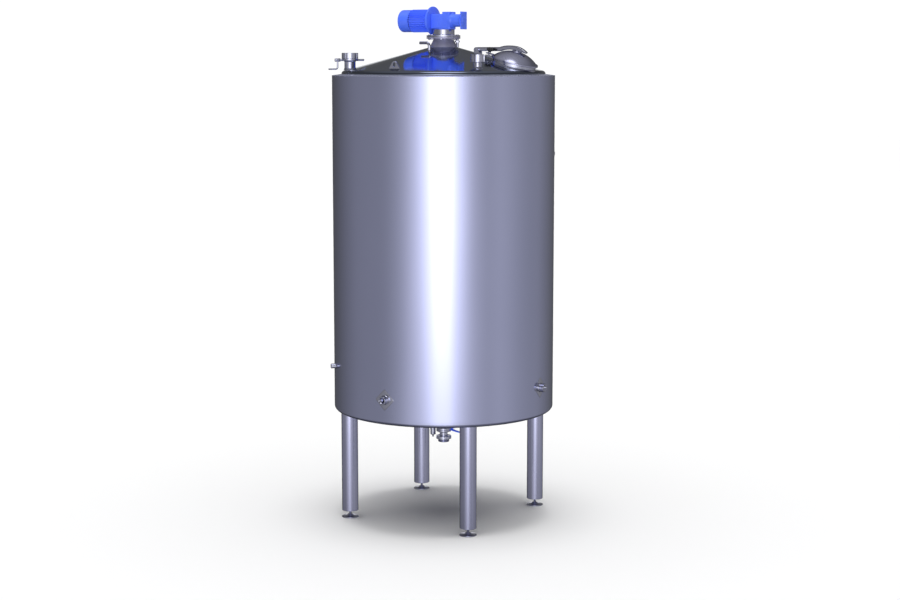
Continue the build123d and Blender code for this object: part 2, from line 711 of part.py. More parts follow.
def lid_hinge():
    """Arched arm over the lid, its bracket on the roof and the pin."""
    tilt = radians(roof_angle)
    centre_x = vessel_radius - manway_inset
    base = roof_level(centre_x)
    level = sphere_level()
    dome_x, dome_z = centre_x + level * sin(tilt), base + level * cos(tilt)
    inner = lid_sphere + arm_gap
    outer = inner + arm_depth
    pin_x = centre_x - hinge_x
    low_angle = radians(arm_low_angle)
    bar_low = dome_z + inner * cos(low_angle)
    bar_high = dome_z + outer * cos(low_angle)
    pin_z = bar_low + 9
    half = arm_width / 2

    def wedge(angle, radius):
        return (dome_x + radius * sin(radians(angle)), dome_z + radius * cos(radians(angle)))

    middle_angle = (arm_low_angle + arm_high_angle) / 2
    outline = [ThreePointArc(wedge(arm_low_angle, outer), wedge(middle_angle, outer), wedge(arm_high_angle, outer)),
               Line(wedge(arm_high_angle, outer), wedge(arm_high_angle, inner)),
               ThreePointArc(wedge(arm_high_angle, inner), wedge(middle_angle, inner), wedge(arm_low_angle, inner)),
               Line(wedge(arm_low_angle, inner), (pin_x, bar_low)),
               Line((pin_x, bar_low), (pin_x, bar_high)),
               Line((pin_x, bar_high), wedge(arm_low_angle, outer))]
    face = make_face([edge.edge() for edge in outline])
    arm = extrude(Plane.XZ * face, half, both=True)
    pin_place = Pos(pin_x, 0, pin_z) * Rot(90, 0, 0)
    arm += pin_place * rod(hinge_barrel, -half, half)
    post = Pos(dome_x, 0, dome_z) * Rot(0, roof_angle, 0) * rod(15, lid_sphere + weld_gap, inner + 4)
    arm += post
    arm -= pin_place * rod(hinge_pin_radius + run_gap, -half - 1, half + 1)
    ears = []
    for side in (-1, 1):
        near = side * (half + free_gap)
        far = side * (half + free_gap + ear_thickness)
        span = (min(near, far), max(near, far))
        ear = block((pin_x - 20, pin_x + 20), span, (roof_level(pin_x) - 30, pin_z))
        ear += Pos(pin_x, 0, pin_z) * Rot(90, 0, 0) * rod(hinge_barrel + 3, -span[1], -span[0])
        ears.append(ear)
    reach = half + free_gap + ear_thickness
    bridge_top = roof_level(pin_x) + 5
    bridge = block((pin_x - 22, pin_x + 20), (-reach, reach), (roof_level(pin_x) - 30, bridge_top))
    bracket = ears[0] + ears[1] + bridge - roof_body(weld_gap)
    bracket -= pin_place * rod(hinge_barrel + 2, -half - free_gap, half + free_gap)
    bracket -= pin_place * rod(hinge_pin_radius + run_gap, -reach - 1, reach + 1)
    pin = pin_place * rod(hinge_pin_radius, -reach - 3, reach + 3)
    return {"lid_arm": arm, "hinge_bracket": bracket, "hinge_pin": pin}


# ---- roof fittings --------------------------------------------------------------------------
def slotted_nut(outer, bore, low, high):
    """Round union nut with spanner slots."""
    nut = tube(outer, bore, low, high)
    for number in range(4):
        nut -= Rot(0, 0, 45 + 90 * number) * block((outer - 6, outer + 2), (-5, 5), (low - 1, high + 1))
    return nut


def inlet():
    circle = vessel_radius - inlet_inset
    surface = roof_level(circle)
    at = around(inlet_angle, circle, surface + inlet_pipe_level - 8)
    flange_low, flange_high = -6, inlet_flange_height - 6
    nut_low = flange_high
    nut_high = nut_low + inlet_nut_height
    body = rod(inlet_outer, -inlet_pipe_level - 20, nut_high)
    body += turned([(0, flange_low - 4), (inlet_outer, flange_low - 4), (inlet_flange_radius, flange_low + 3),
                    (inlet_flange_radius, flange_high), (0, flange_high)])
    body += Rot(0, 90, 0) * rod(inlet_boss, inlet_flange_radius - 5, inlet_flange_radius + 10)
    body += Rot(0, -90, 0) * rod(inlet_boss, inlet_flange_radius - 5, inlet_flange_radius + 42)
    body -= rod(inlet_bore, -inlet_pipe_level - 30, nut_high + 1)
    body -= rod(inlet_mouth, nut_high - inlet_mouth_depth, nut_high + 1)
    stem_hole = inlet_stem_radius + run_gap
    body -= Rot(0, 90, 0) * rod(stem_hole, -inlet_flange_radius - 20, inlet_flange_radius + 20)
    hub_low, hub_high = inlet_flange_radius + 10 + free_gap, inlet_flange_radius + 48
    disc = Rot(90, 0, 0) * rod(inlet_bore - free_gap, -inlet_disc_thickness / 2, inlet_disc_thickness / 2)
    disc += Rot(0, 90, 0) * rod(inlet_stem_radius, -inlet_flange_radius - 18, hub_high - 4)
    lever = Rot(0, 90, 0) * tube(lever_rod + 6, stem_hole, hub_low, hub_high)
    arm_x = (hub_low + hub_high) / 2
    path = FilletPolyline((arm_x, -8), (arm_x, -lever_drop), (arm_x + lever_reach, -lever_drop), radius=14)
    grip = sweep(Pos(arm_x, 0, -8) * Circle(lever_rod), path=Plane.XZ * path)
    lever = lever + grip - Rot(0, 90, 0) * rod(stem_hole, hub_low - 1, hub_high - 3)
    nut = slotted_nut(inlet_flange_radius, inlet_outer + weld_gap, nut_low, nut_high)
    return {"inlet_valve_body": at * body, "inlet_valve_disc": at * disc, "inlet_lever": at * lever,
            "nut": at * nut}


def cip():
    circle = vessel_radius - cip_inset
    at = around(cip_angle, circle, roof_level(circle))
    pipe = tube(cip_outer, cip_bore, -30, cip_height)
    drop = tube(14, 12, -cip_drop, -24)
    plate = tube(cip_bore + 1, 12, -30, -24)
    nut = slotted_nut(cip_nut_radius, cip_outer + weld_gap, cip_height - cip_nut_height, cip_height)
    ball = Pos(0, 0, -cip_drop - spray_radius + 4) * (Sphere(spray_radius) - Sphere(spray_radius - 2))
    ball -= rod(14 + weld_gap, -cip_drop - 10, -cip_drop + 10)
    for level, count in ((-20, 6), (0, 8), (20, 6)):
        for number in range(count):
            ball -= Pos(0, 0, -cip_drop - spray_radius + 4) * Rot(0, 0, 360 / count * number) * (
                Rot(0, level, 0) * Rot(0, 90, 0) * rod(2, 5, spray_radius + 5))
    return {"cip_nozzle": at * (pipe + drop + plate), "nut": at * nut, "spray_ball": at * ball}


def small_fittings():
    surface = roof_level(vent_circle)
    path = FilletPolyline((0, -20), (0, vent_height), (-vent_arm, vent_height), radius=vent_bend)
    sweep_path = Plane.XZ * path
    solid = sweep(Pos(0, 0, -20) * Circle(vent_radius), path=sweep_path)
    hollow = sweep(Pos(0, 0, -20) * Circle(vent_radius - vent_wall), path=sweep_path)
    vent = Pos(0, -vent_circle, surface) * (solid - hollow)
    probe_base = roof_level(probe_circle)
    probe = Pos(0, probe_circle, probe_base) * (
        rod(probe_radius, -24, probe_height) + rod(4, -probe_depth, -20)
        + hexagon(30, probe_height - 34, probe_height - 22))
    lug_face = make_face([
        Line((-lug_width / 2, -25), (lug_width / 2, -25)).edge(),
        Line((lug_width / 2, -25), (lug_width / 2, 2)).edge(),
        Line((lug_width / 2, 2), (lug_top_width / 2, lug_height - 12)).edge(),
        ThreePointArc((lug_top_width / 2, lug_height - 12), (0, lug_height),
                      (-lug_top_width / 2, lug_height - 12)).edge(),
        Line((-lug_top_width / 2, lug_height - 12), (-lug_width / 2, 2)).edge(),
        Line((-lug_width / 2, 2), (-lug_width / 2, -25)).edge()])
    plate = extrude(Plane.XZ * lug_face, lug_thickness / 2, both=True)
    hole = Rot(90, 0, 0) * extrude(Rot(0, 0, 90) * SlotOverall(lug_slot, 2 * lug_hole), lug_thickness, both=True)
    plate -= Pos(0, 0, lug_height - 7 - lug_slot / 2) * hole
    lift = roof_level(lug_circle)
    lugs = Compound(children=[
        Pos(0, side * lug_circle, lift) * plate - roof_body(weld_gap) for side in (-1, 1)])
    return {"vent_bend": vent, "level_probe": probe, "lifting_lugs": lugs}


def wall_sockets():
    sleeves, plates = [], []
    for place in sleeve_places():
        sleeve = tube(sleeve_radius, sleeve_bore, vessel_radius - 6, cladding_radius + sleeve_reach)
        skin = (rod(cladding_radius + weld_gap + rosette_sheet, -200, 200)
                - rod(cladding_radius + weld_gap, -201, 201))
        sleeves.append(place * sleeve)
        level = (place * Pos(0, 0, 0)).position.Z
        square = place * (Rot(0, 0, 45) * Pos(0, 0, cladding_radius) * Box(rosette_side, rosette_side, 60))
        plate = (Pos(0, 0, level) * skin) & square
        plates.append(plate - place * rod(sleeve_radius + weld_gap, 600, 900))
    sockets = [place * tube(socket_radius, socket_bore, vessel_radius + 4, cladding_radius + socket_reach)
               for place in socket_places()]
    return {"sensor_sleeves": Compound(children=sleeves), "rosettes": Compound(children=plates),
            "jacket_sockets": Compound(children=sockets)}


# ---- outlet ---------------------------------------------------------------------------------
def outlet():
    vessel_low = bottom_level(outlet_outer)
    valve_top = vessel_low - outlet_drop
    valve_low = valve_top - valve_height
    stem = valve_top - valve_height / 2
    stem_hole = valve_stem_radius + run_gap
    across = Pos(0, 0, stem) * Rot(-90, 0, 0)
    cock_level = valve_top + 44
    pipe = tube(outlet_outer, outlet_bore, valve_top, vessel_low + 8)
    pipe -= Pos(0, 0, cock_level) * Rot(0, -90, 0) * rod(6, 10, 60)
    body = tube(valve_radius, outlet_bore, valve_low, valve_top)
    body += across * rod(11, valve_radius - 12, valve_radius + 4)
    body -= across * rod(stem_hole, -valve_radius + 6, valve_radius + 10)
    body -= rod(outlet_bore, valve_low - 1, valve_top + 1)
    disc = Pos(0, 0, stem) * rod(outlet_bore - free_gap, -valve_disc_thickness / 2, valve_disc_thickness / 2)
    handle_low = valve_radius + 4 + free_gap
    disc += across * rod(valve_stem_radius, -valve_radius + 7, handle_low + handle_thickness + 4)
    neck_low = valve_low - adapter_neck_length
    nut_low = neck_low - outlet_nut_height
    male_low = nut_low - male_length
    adapter = tube(adapter_neck, adapter_bore, male_low, valve_low)
    adapter += tube(male_radius, adapter_bore, male_low, nut_low)
    nut = slotted_nut(outlet_nut_radius, adapter_neck + weld_gap, nut_low, neck_low)
    parts = {"outlet_pipe": pipe, "outlet_valve_body": body, "outlet_valve_disc": disc,
             "outlet_adapter": adapter, "nut": nut, "sample_cock": sample_cock(cock_level)}
    parts["outlet_handle"] = across * outlet_handle(handle_low, stem_hole)
    return parts


def outlet_handle(low, stem_hole):
    """Grip and latch bar that spread from the stem; local Z is the stem, local -Y is up."""
    reach = handle_length
    hub = rod(17, low, low + handle_thickness)
    grip = make_face(Polyline((-6, -12), (70, -20), (reach, -33), (reach, -19), (70, -6), (6, 14), close=True))
    latch = make_face(Polyline((0, -6), (60, 14), (reach - 22, 26), (reach - 22, 34), (56, 24), (-4, 12), close=True))
    bars = Pos(0, 0, low) * (extrude(grip, handle_thickness) + extrude(latch, handle_thickness))
    return hub + bars - rod(stem_hole, low - 1, low + handle_thickness + 1)


def sample_cock(level):
    """Small sampling valve on a branch from the outlet pipe."""
    branch = Pos(0, 0, level) * Rot(0, -90, 0) * rod(8, outlet_outer + weld_gap, cock_offset + 8)
    branch -= Pos(0, 0, level) * Rot(0, -90, 0) * rod(6, outlet_outer - 5, cock_offset)
    body = Pos(-cock_offset, 0, 0) * (rod(8, level - 36, level + 8) + rod(cock_radius, level - 112, level - 34))
    spout = Pos(-cock_offset, 0, 0) * rod(6, level - 126, level - 110)
    return branch + body + spout


def main():
    os.makedirs("parts", exist_ok=True)
    sections = (vessel, jacket, cladding, leg_frame, agitator_mount, agitator, gear_unit, motor, manway,
                inlet, cip, small_fittings, wall_sockets, outlet)
    nodes, nuts = {}, []
    for section in sections:
        made = section()
        if "nut" in made:
            nuts.append(made.pop("nut"))
        nodes.update(made)
    nodes["union_nuts"] = Compound(children=nuts)
    for name, shape in nodes.items():
        export_step(shape, "parts/" + name + ".step")


main()
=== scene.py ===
import json
import bmesh
import bpy
import numpy as np
from mathutils import Matrix, Vector


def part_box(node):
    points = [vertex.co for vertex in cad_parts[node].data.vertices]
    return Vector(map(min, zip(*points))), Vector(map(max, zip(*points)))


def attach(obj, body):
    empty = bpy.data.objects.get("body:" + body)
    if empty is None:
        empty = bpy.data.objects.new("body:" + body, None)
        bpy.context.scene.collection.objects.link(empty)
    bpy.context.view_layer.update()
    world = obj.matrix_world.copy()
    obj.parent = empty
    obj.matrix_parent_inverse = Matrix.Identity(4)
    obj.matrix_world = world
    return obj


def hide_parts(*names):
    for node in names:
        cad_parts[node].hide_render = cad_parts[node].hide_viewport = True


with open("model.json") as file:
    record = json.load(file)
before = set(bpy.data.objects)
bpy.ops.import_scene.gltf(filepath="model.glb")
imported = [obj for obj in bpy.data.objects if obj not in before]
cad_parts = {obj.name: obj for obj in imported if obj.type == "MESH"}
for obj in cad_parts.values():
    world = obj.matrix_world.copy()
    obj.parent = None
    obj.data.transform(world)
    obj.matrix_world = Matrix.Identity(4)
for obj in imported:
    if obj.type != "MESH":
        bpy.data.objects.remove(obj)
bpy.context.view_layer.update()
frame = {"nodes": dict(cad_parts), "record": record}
slotOf = {part["node"]: part["material_slot"] for part in frame["record"]["subparts"]}
bodyOf = {node: body for body, nodes in frame["record"]["behaviour"]["bodies"].items() for node in nodes}
print("frame loaded", len(frame["nodes"]), "nodes")

# place in metres, pitch and turn in degrees, lens in millimetres for a frame 36 mm wide
camera = {"place": (6.265, -10.440, 3.1892), "pitch": 7.864, "turn": 30.758, "lens": 70.40}


def setCamera():
    data = bpy.data.cameras.new("camera")
    data.lens = camera["lens"]
    data.sensor_width = 36.0
    data.clip_end = 200.0
    item = bpy.data.objects.new("camera", data)
    item.location = camera["place"]
    item.rotation_euler = (np.radians(90 - camera["pitch"]), 0.0, np.radians(camera["turn"]))
    bpy.context.collection.objects.link(item)
    bpy.context.scene.camera = item


def arcPoints(centre, radius, start, end, count):
    # points on a circle arc, angles in degrees from +r towards +z
    angle = np.radians(np.linspace(start, end, count))
    return np.stack([centre[0] + radius * np.cos(angle), centre[1] + radius * np.sin(angle)], 1)


def softLine(corners, radii, count=7, closed=False):
    # a polyline whose corners are replaced by tangent arcs: for each corner the arc starts and ends
    # radius * tan(turn / 2) away from the corner, and bulges towards it
    corners = np.asarray(corners, float)
    radii = np.broadcast_to(np.asarray(radii, float), (len(corners),))
    total = len(corners)
    out = []
    for index in range(total):
        here = corners[index]
        if radii[index] <= 0 or (not closed and index in (0, total - 1)):
            out.append(here[None])
            continue
        before = corners[index - 1] - here
        after = corners[(index + 1) % total] - here
        lengths = np.linalg.norm(before), np.linalg.norm(after)
        before, after = before / lengths[0], after / lengths[1]
        half = np.arccos(np.clip(before @ after, -1, 1)) / 2
        reach = min(radii[index] / np.tan(half), 0.48 * min(lengths))
        radius = reach * np.tan(half)
        middle = before + after
        centre = here + middle / np.linalg.norm(middle) * radius / np.sin(half)
        first, last = here + before * reach - centre, here + after * reach - centre
        turn = np.arccos(np.clip(first @ last / radius ** 2, -1, 1))
        share = np.linspace(0, 1, count)[:, None]
        out.append(centre + (np.sin((1 - share) * turn) * first + np.sin(share * turn) * last) / np.sin(turn))
    return np.concatenate(out)


def lathe(profile, steps=96, start=0.0, sweep=360.0):
    # surface of revolution: point (r, z) of the profile turned through the angle a goes to
    # (r cos a, r sin a, z); a closed profile meets itself, an open one runs from axis to axis
    profile = np.asarray(profile, float)
    angle = np.radians(start + sweep * np.arange(steps) / steps)
    grid = np.stack([profile[None, :, 0] * np.cos(angle)[:, None],
                     profile[None, :, 0] * np.sin(angle)[:, None],
                     np.broadcast_to(profile[None, :, 1], (steps, len(profile)))], -1)
    return grid


def gridFaces(rows, columns, wrapRows, wrapColumns):
    # quads between neighbouring points of a rows by columns grid
    i = np.arange(rows if wrapRows else rows - 1)
    j = np.arange(columns if wrapColumns else columns - 1)
    i, j = np.meshgrid(i, j, indexing="ij")
    nextI, nextJ = (i + 1) % rows, (j + 1) % columns
    return np.stack([i * columns + j, nextI * columns + j, nextI * columns + nextJ, i * columns + nextJ],
                    -1).reshape(-1, 4)


def turned(profile, steps=96, closed=True):
    # a turned part as (points, quads); a closed outline wraps, an open one ends on the axis
    grid = lathe(profile, steps)
    return grid.reshape(-1, 3), gridFaces(steps, len(profile), True, closed)


def spokes(path, sides, sideways):
    # unit circles across a flat path: cos a times the fixed sideways direction plus sin a times the
    # direction at right angles to it and to the path
    path = np.asarray(path, float)
    tangent = np.gradient(path, axis=0)
    tangent /= np.linalg.norm(tangent, axis=1)[:, None]
    sideways = np.asarray(sideways, float)
    up = np.cross(tangent, sideways)
    up /= np.linalg.norm(up, axis=1)[:, None]
    angle = np.linspace(0, 2 * np.pi, sides, endpoint=False)
    return path, np.cos(angle)[None, :, None] * sideways + np.sin(angle)[None, :, None] * up[:, None]


def bevelled(outline, radii, steps=96, count=5, closed=True):
    # turned part whose outline has rounded corners; an outline that isn't closed ends on the axis
    return turned(softLine(outline, radii, count, closed), steps, closed)


def swept(path, radius, sides=20, sideways=(0, 1, 0)):
    # round bar along a flat path: at each point a circle in the plane of the path's normal and the
    # fixed sideways direction; the ends close to a point
    path, spoke = spokes(path, sides, sideways)
    ring = path[:, None] + radius * spoke
    ends = np.repeat(path[[0, -1]][:, None], sides, 1)
    grid = np.concatenate([ends[:1], ring, ends[1:]])
    return grid.reshape(-1, 3), gridFaces(len(grid), sides, False, True)


def slab(outline, low, high):
    # flat plate: a closed outline in x and y, with its side wall between two heights; the two faces
    # are fans to the outline's middle
    outline = np.asarray(outline, float)
    count = len(outline)
    middle = outline.mean(0)
    levels = [np.column_stack([outline, np.full(count, z)]) for z in (low, high)]
    caps = np.array([[*middle, low], [*middle, high]])
    points = np.concatenate([*levels, caps])
    side = gridFaces(2, count, False, True)
    i = np.arange(count)
    nextI = (i + 1) % count
    lowFan = np.stack([nextI, i, np.full(count, 2 * count)], 1)
    highFan = np.stack([i + count, nextI + count, np.full(count, 2 * count + 1)], 1)
    return points, [side, lowFan, highFan]


def merge(*parts):
    # several (points, faces) as one
    points, faces, offset = [], [], 0
    for vertices, groups in parts:
        groups = groups if isinstance(groups, list) else [groups]
        points.append(vertices)
        faces += [np.asarray(group) + offset for group in groups]
        offset += len(vertices)
    return np.concatenate(points), faces


def moved(part, matrix):
    # the same shape through a 4 by 4 matrix
    points, faces = part
    matrix = np.asarray(matrix)
    return points @ matrix[:3, :3].T + matrix[:3, 3], faces


def at(x=0.0, y=0.0, z=0.0):
    return np.array(Matrix.Translation((x, y, z)))


def turn(degrees, axis):
    return np.array(Matrix.Rotation(np.radians(degrees), 4, axis))


def hexHead(flats, low, high):
    # hexagon head with its top edge turned down to a chamfer
    across = flats / 2 / np.cos(np.pi / 6)
    chamfer = 0.12 * (high - low)
    outline = [(across * np.cos(a), across * np.sin(a)) for a in np.radians(np.arange(6) * 60 + 30)]
    inner = [(0.90 * x, 0.90 * y) for x, y in outline]
    count = 6
    rings = np.concatenate([np.column_stack([outline, np.full(6, low)]),
                            np.column_stack([outline, np.full(6, high - chamfer)]),
                            np.column_stack([inner, np.full(6, high)])])
    side = gridFaces(3, count, False, True)
    i = np.arange(count)
    caps = np.array([[0, 0, low], [0, 0, high]])
    fans = [np.stack([(i + 1) % count, i, np.full(count, 18)], 1),
            np.stack([i + 12, (i + 1) % count + 12, np.full(count, 19)], 1)]
    return np.concatenate([rings, caps]), [side, *fans]


def roundedBox(lo, hi, radius, steps=4):
    # box with rounded edges: each face of a cube is mapped to a ball of that radius, and the ball is
    # pulled apart at its middle planes until it fills the box
    lo, hi = np.asarray(lo, float), np.asarray(hi, float)
    centre, half = (lo + hi) / 2, (hi - lo) / 2 - radius
    share = np.tan(np.linspace(-1, 0, steps + 1) * np.pi / 4)
    line = np.concatenate([share, -share[::-1]])
    signs = np.concatenate([-np.ones(steps + 1), np.ones(steps + 1)])
    u, v = np.meshgrid(line, line, indexing="ij")
    su, sv = np.meshgrid(signs, signs, indexing="ij")
    parts = []
    for axis in range(3):
        for way in (-1.0, 1.0):
            ball = np.stack([np.full_like(u, way), u, v], -1)
            ball /= np.linalg.norm(ball, axis=-1, keepdims=True)
            side = np.stack([np.full_like(su, way), su, sv], -1)
            order = [(0, 1, 2), (2, 0, 1), (1, 2, 0)][axis]
            grid = centre + side[..., order] * half + radius * ball[..., order]
            parts.append((grid.reshape(-1, 3), gridFaces(len(line), len(line), False, False)))
    return merge(*parts)


def prism(rows):
    # ring of surfaces round Z: each row is (radius for every angle, height); the rows wrap, so the
    # outer wall, the bore and the end faces are one closed skin
    count = len(rows[0][0])
    angle = np.linspace(0, 2 * np.pi, count, endpoint=False)
    grid = np.stack([np.column_stack([radius * np.cos(angle), radius * np.sin(angle), np.full(count, z)])
                     for radius, z in rows])
    return grid.reshape(-1, 3), gridFaces(len(rows), count, True, True)


def unionNut(outer, bore, low, high, slots=4, depth=6.0, width=10.0, edge=1.6):
    # round nut with spanner slots: the radius drops by the depth where the angle is near a slot
    angle = np.linspace(0, 2 * np.pi, 240, endpoint=False)
    away = np.abs((angle - np.pi / 4 + np.pi / slots) % (2 * np.pi / slots) - np.pi / slots) * outer
    wall = outer - depth * np.clip((width / 2 + 1.0 - away) / 2.0, 0, 1)
    inside = np.full(240, bore)
    rows = [(wall - edge, low), (wall, low + edge), (wall, high - edge), (wall - edge, high),
            (inside + 0.6, high), (inside, high - 0.6), (inside, low + 0.6), (inside + 0.6, low)]
    return prism(rows)


def pipeAlong(path, outer, inner, sides=28, sideways=(0, 1, 0)):
    # open pipe along a flat path: circles of the outer radius out and of the inner radius back
    path, spoke = spokes(path, sides, sideways)
    grid = np.concatenate([path[:, None] + outer * spoke, (path[:, None] + inner * spoke)[::-1]])
    return grid.reshape(-1, 3), gridFaces(len(grid), sides, True, True)


def barAlong(path, width, depth, edge=4.0, corners=5):
    # flat bar along a path in the XZ plane: a rounded rectangle at every point, its width along Y and
    # its depth along the path's normal; depth may change along the path
    path = np.asarray(path, float)
    tangent = np.gradient(path, axis=0)
    tangent /= np.linalg.norm(tangent, axis=1)[:, None]
    normal = np.column_stack([-tangent[:, 2], np.zeros(len(path)), tangent[:, 0]])
    depth = np.broadcast_to(np.asarray(depth, float), (len(path),))
    rings = []
    for point, out, thick in zip(path, normal, depth):
        radius = min(edge, 0.45 * thick)
        outline = softLine([(-width / 2, -thick / 2), (width / 2, -thick / 2), (width / 2, thick / 2),
                            (-width / 2, thick / 2)], radius, corners, closed=True)
        rings.append(point + outline[:, :1] * np.array([0, 1, 0]) + outline[:, 1:] * out)
    count = len(rings[0])
    grid = np.stack([np.repeat(rings[0].mean(0)[None], count, 0), *rings, np.repeat(rings[-1].mean(0)[None],
            count, 0)])
    return grid.reshape(-1, 3), gridFaces(len(grid), count, False, True)


def ringSlab(outline, hole, low, high, edge=1.0):
    # plate with one opening: outline and hole have the same number of points and are joined in pairs
    outline, hole = np.asarray(outline, float), np.asarray(hole, float)
    inward = (hole - outline) / np.linalg.norm(hole - outline, axis=1)[:, None]
    rows = [(outline + edge * inward, low), (outline, low + edge), (outline, high - edge),
            (outline + edge * inward, high), (hole, high), (hole, low)]
    grid = np.stack([np.column_stack([points, np.full(len(points), z)]) for points, z in rows])
    return grid.reshape(-1, 3), gridFaces(len(rows), len(outline), True, True)


def pierced(points, triangles, holes):
    # cuts round holes: of each edge that crosses a cylinder the nearer end is moved onto it, away from
    # or towards its axis, and triangles inside the cylinder are dropped
    points = points.copy()
    for centre, axis, radius in holes:
        offset = points - centre
        along = offset @ axis
        radial = offset - along[:, None] * axis
        distance = np.linalg.norm(radial, axis=1) - radius
        distance[np.abs(along) > 120] = 1e6
        pairs = np.concatenate([triangles[:, [0, 1]], triangles[:, [1, 2]], triangles[:, [2, 0]]])
        crossing = pairs[(distance[pairs[:, 0]] * distance[pairs[:, 1]] < 0)]
        first = np.abs(distance[crossing[:, 0]]) <= np.abs(distance[crossing[:, 1]])
        nearest = np.unique(np.where(first, crossing[:, 0], crossing[:, 1]))
        length = distance[nearest] + radius
        points[nearest] -= radial[nearest] * (distance[nearest] / length)[:, None]
        distance[nearest] = 0.0
        triangles = triangles[(distance[triangles] > 0).any(1)]
    return points, triangles


def sheetOf(points, triangles, normals, thickness):
    # closed sheet: the surface, a copy moved back along its normals, and a wall along every open edge
    used, triangles = np.unique(triangles, return_inverse=True)
    triangles = triangles.reshape(-1, 3)
    points, normals = points[used], normals[used]
    count = len(points)
    pairs = np.concatenate([triangles[:, [0, 1]], triangles[:, [1, 2]], triangles[:, [2, 0]]])
    rim = pairs[~np.isin(pairs[:, 0] * count + pairs[:, 1], pairs[:, 1] * count + pairs[:, 0])]
    walls = np.column_stack([rim[:, 1], rim[:, 0], rim[:, 0] + count, rim[:, 1] + count])
    return np.concatenate([points, points - thickness * normals]), [triangles, triangles[:, ::-1] + count,
            walls]


def edges(node):
    # lowest and highest corner of a CAD node, in millimetres
    lo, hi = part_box(node)
    return np.array(lo) * 1000, np.array(hi) * 1000


def piece(name, part, node, look=None, sharp=32.0, slot=None):
    # puts a shape given in millimetres into a mesh, closes its seams, turns its faces outwards, and
    # gives it the body of the CAD node that it stands for and the finish of that node's slot; look and slot
    # name others, and edges that turn by more than sharp degrees stay crisp
    points, faces = part
    points = points * 0.001
    groups = faces if isinstance(faces, list) else [faces]
    mesh = bpy.data.meshes.new(name)
    mesh.from_pydata(points.tolist(), [], [face for group in groups for face in np.asarray(group).tolist()])
    work = bmesh.new()
    work.from_mesh(mesh)
    bmesh.ops.remove_doubles(work, verts=work.verts, dist=2e-6)
    bmesh.ops.dissolve_degenerate(work, dist=1e-6, edges=work.edges)
    bmesh.ops.recalc_face_normals(work, faces=work.faces)
    work.to_mesh(mesh)
    work.free()
    mesh.polygons.foreach_set("use_smooth", np.ones(len(mesh.polygons), bool))
    mesh.set_sharp_from_angle(angle=np.radians(sharp))
    mesh.materials.append(finish[look or slotFinish[slot or slotOf[node]]])
    item = bpy.data.objects.new(name, mesh)
    bpy.context.collection.objects.link(item)
    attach(item, bodyOf[node])
    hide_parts(node)


def newFinish(name):
    material = bpy.data.materials.new(name)
    material.use_nodes = True
    nodes = material.node_tree.nodes
    shader = nodes["Principled BSDF"]
    place = nodes.new("ShaderNodeTexCoord")
    return material, nodes, material.node_tree.links, shader, place


def noiseAt(nodes, links, place, stretch, size, detail=4.0, roughness=0.5):
    mapping = nodes.new("ShaderNodeMapping")
    mapping.inputs["Scale"].default_value = stretch
    links.new(place.outputs["Object"], mapping.inputs["Vector"])
    noise = nodes.new("ShaderNodeTexNoise")
    noise.inputs["Scale"].default_value = size
    noise.inputs["Detail"].default_value = detail
    noise.inputs["Roughness"].default_value = roughness
    links.new(mapping.outputs["Vector"], noise.inputs["Vector"])
    return noise


def ramp(nodes, links, source, low, high, start=0.3, end=0.7):
    steps = nodes.new("ShaderNodeMapRange")
    steps.inputs["From Min"].default_value = start
    steps.inputs["From Max"].default_value = end
    steps.inputs["To Min"].default_value = low
    steps.inputs["To Max"].default_value = high
    links.new(source, steps.inputs["Value"])
    return steps.outputs["Result"]


def tinted(nodes, links, source, colour, shade):
    # colour that drifts between two shades as the pattern rises
    tint = nodes.new("ShaderNodeMix")
    tint.data_type = "RGBA"
    tint.inputs[6].default_value = (*colour, 1.0)
    tint.inputs[7].default_value = (*shade, 1.0)
    links.new(ramp(nodes, links, source, 0.0, 1.0), tint.inputs[0])
    return tint.outputs[2]


def raised(nodes, links, shader, source, strength, distance):
    # fine height from a pattern, distance in metres
    height = nodes.new("ShaderNodeBump")
    height.inputs["Strength"].default_value = strength
    height.inputs["Distance"].default_value = distance
    links.new(source, height.inputs["Height"])
    links.new(height.outputs["Normal"], shader.inputs["Normal"])


def steel(name, colour, shade, roughness, brush=(1.0, 1.0, 40.0), brushSize=30.0, bump=0.02, smear=0.05,
          metal=1.0, paintedShadeBelow=None):
    # stainless steel: fine brushed grain that varies roughness and height, with broad faint stains;
    # paintedShadeBelow is a height in metres under which the colour is painted darker, as shade at the
    # rounded rim
    material, nodes, links, shader, place = newFinish(name)
    shader.inputs["Metallic"].default_value = metal
    broad = noiseAt(nodes, links, place, (1.0, 1.0, 0.6), 2.2, 3.0)
    colourOut = tinted(nodes, links, broad.outputs["Fac"], colour, shade)
    # painted shade: under the given height the base colour is mixed down to half the darker tint
    if paintedShadeBelow:
        split = nodes.new("ShaderNodeSeparateXYZ")
        links.new(place.outputs["Object"], split.inputs[0])
        paintedShade = nodes.new("ShaderNodeMix")
        paintedShade.data_type = "RGBA"
        paintedShade.inputs[6].default_value = tuple(0.5 * part for part in shade) + (1.0,)
        links.new(ramp(nodes, links, split.outputs["Z"], 0.0, 1.0, paintedShadeBelow, paintedShadeBelow + 0.005),
                  paintedShade.inputs[0])
        links.new(colourOut, paintedShade.inputs[7])
        colourOut = paintedShade.outputs[2]
    links.new(colourOut, shader.inputs["Base Color"])
    grain = noiseAt(nodes, links, place, brush, brushSize, 6.0, 0.6)
    links.new(ramp(nodes, links, grain.outputs["Fac"], roughness - smear, roughness + smear),
              shader.inputs["Roughness"])
    raised(nodes, links, shader, grain.outputs["Fac"], bump, 0.001)
    return material


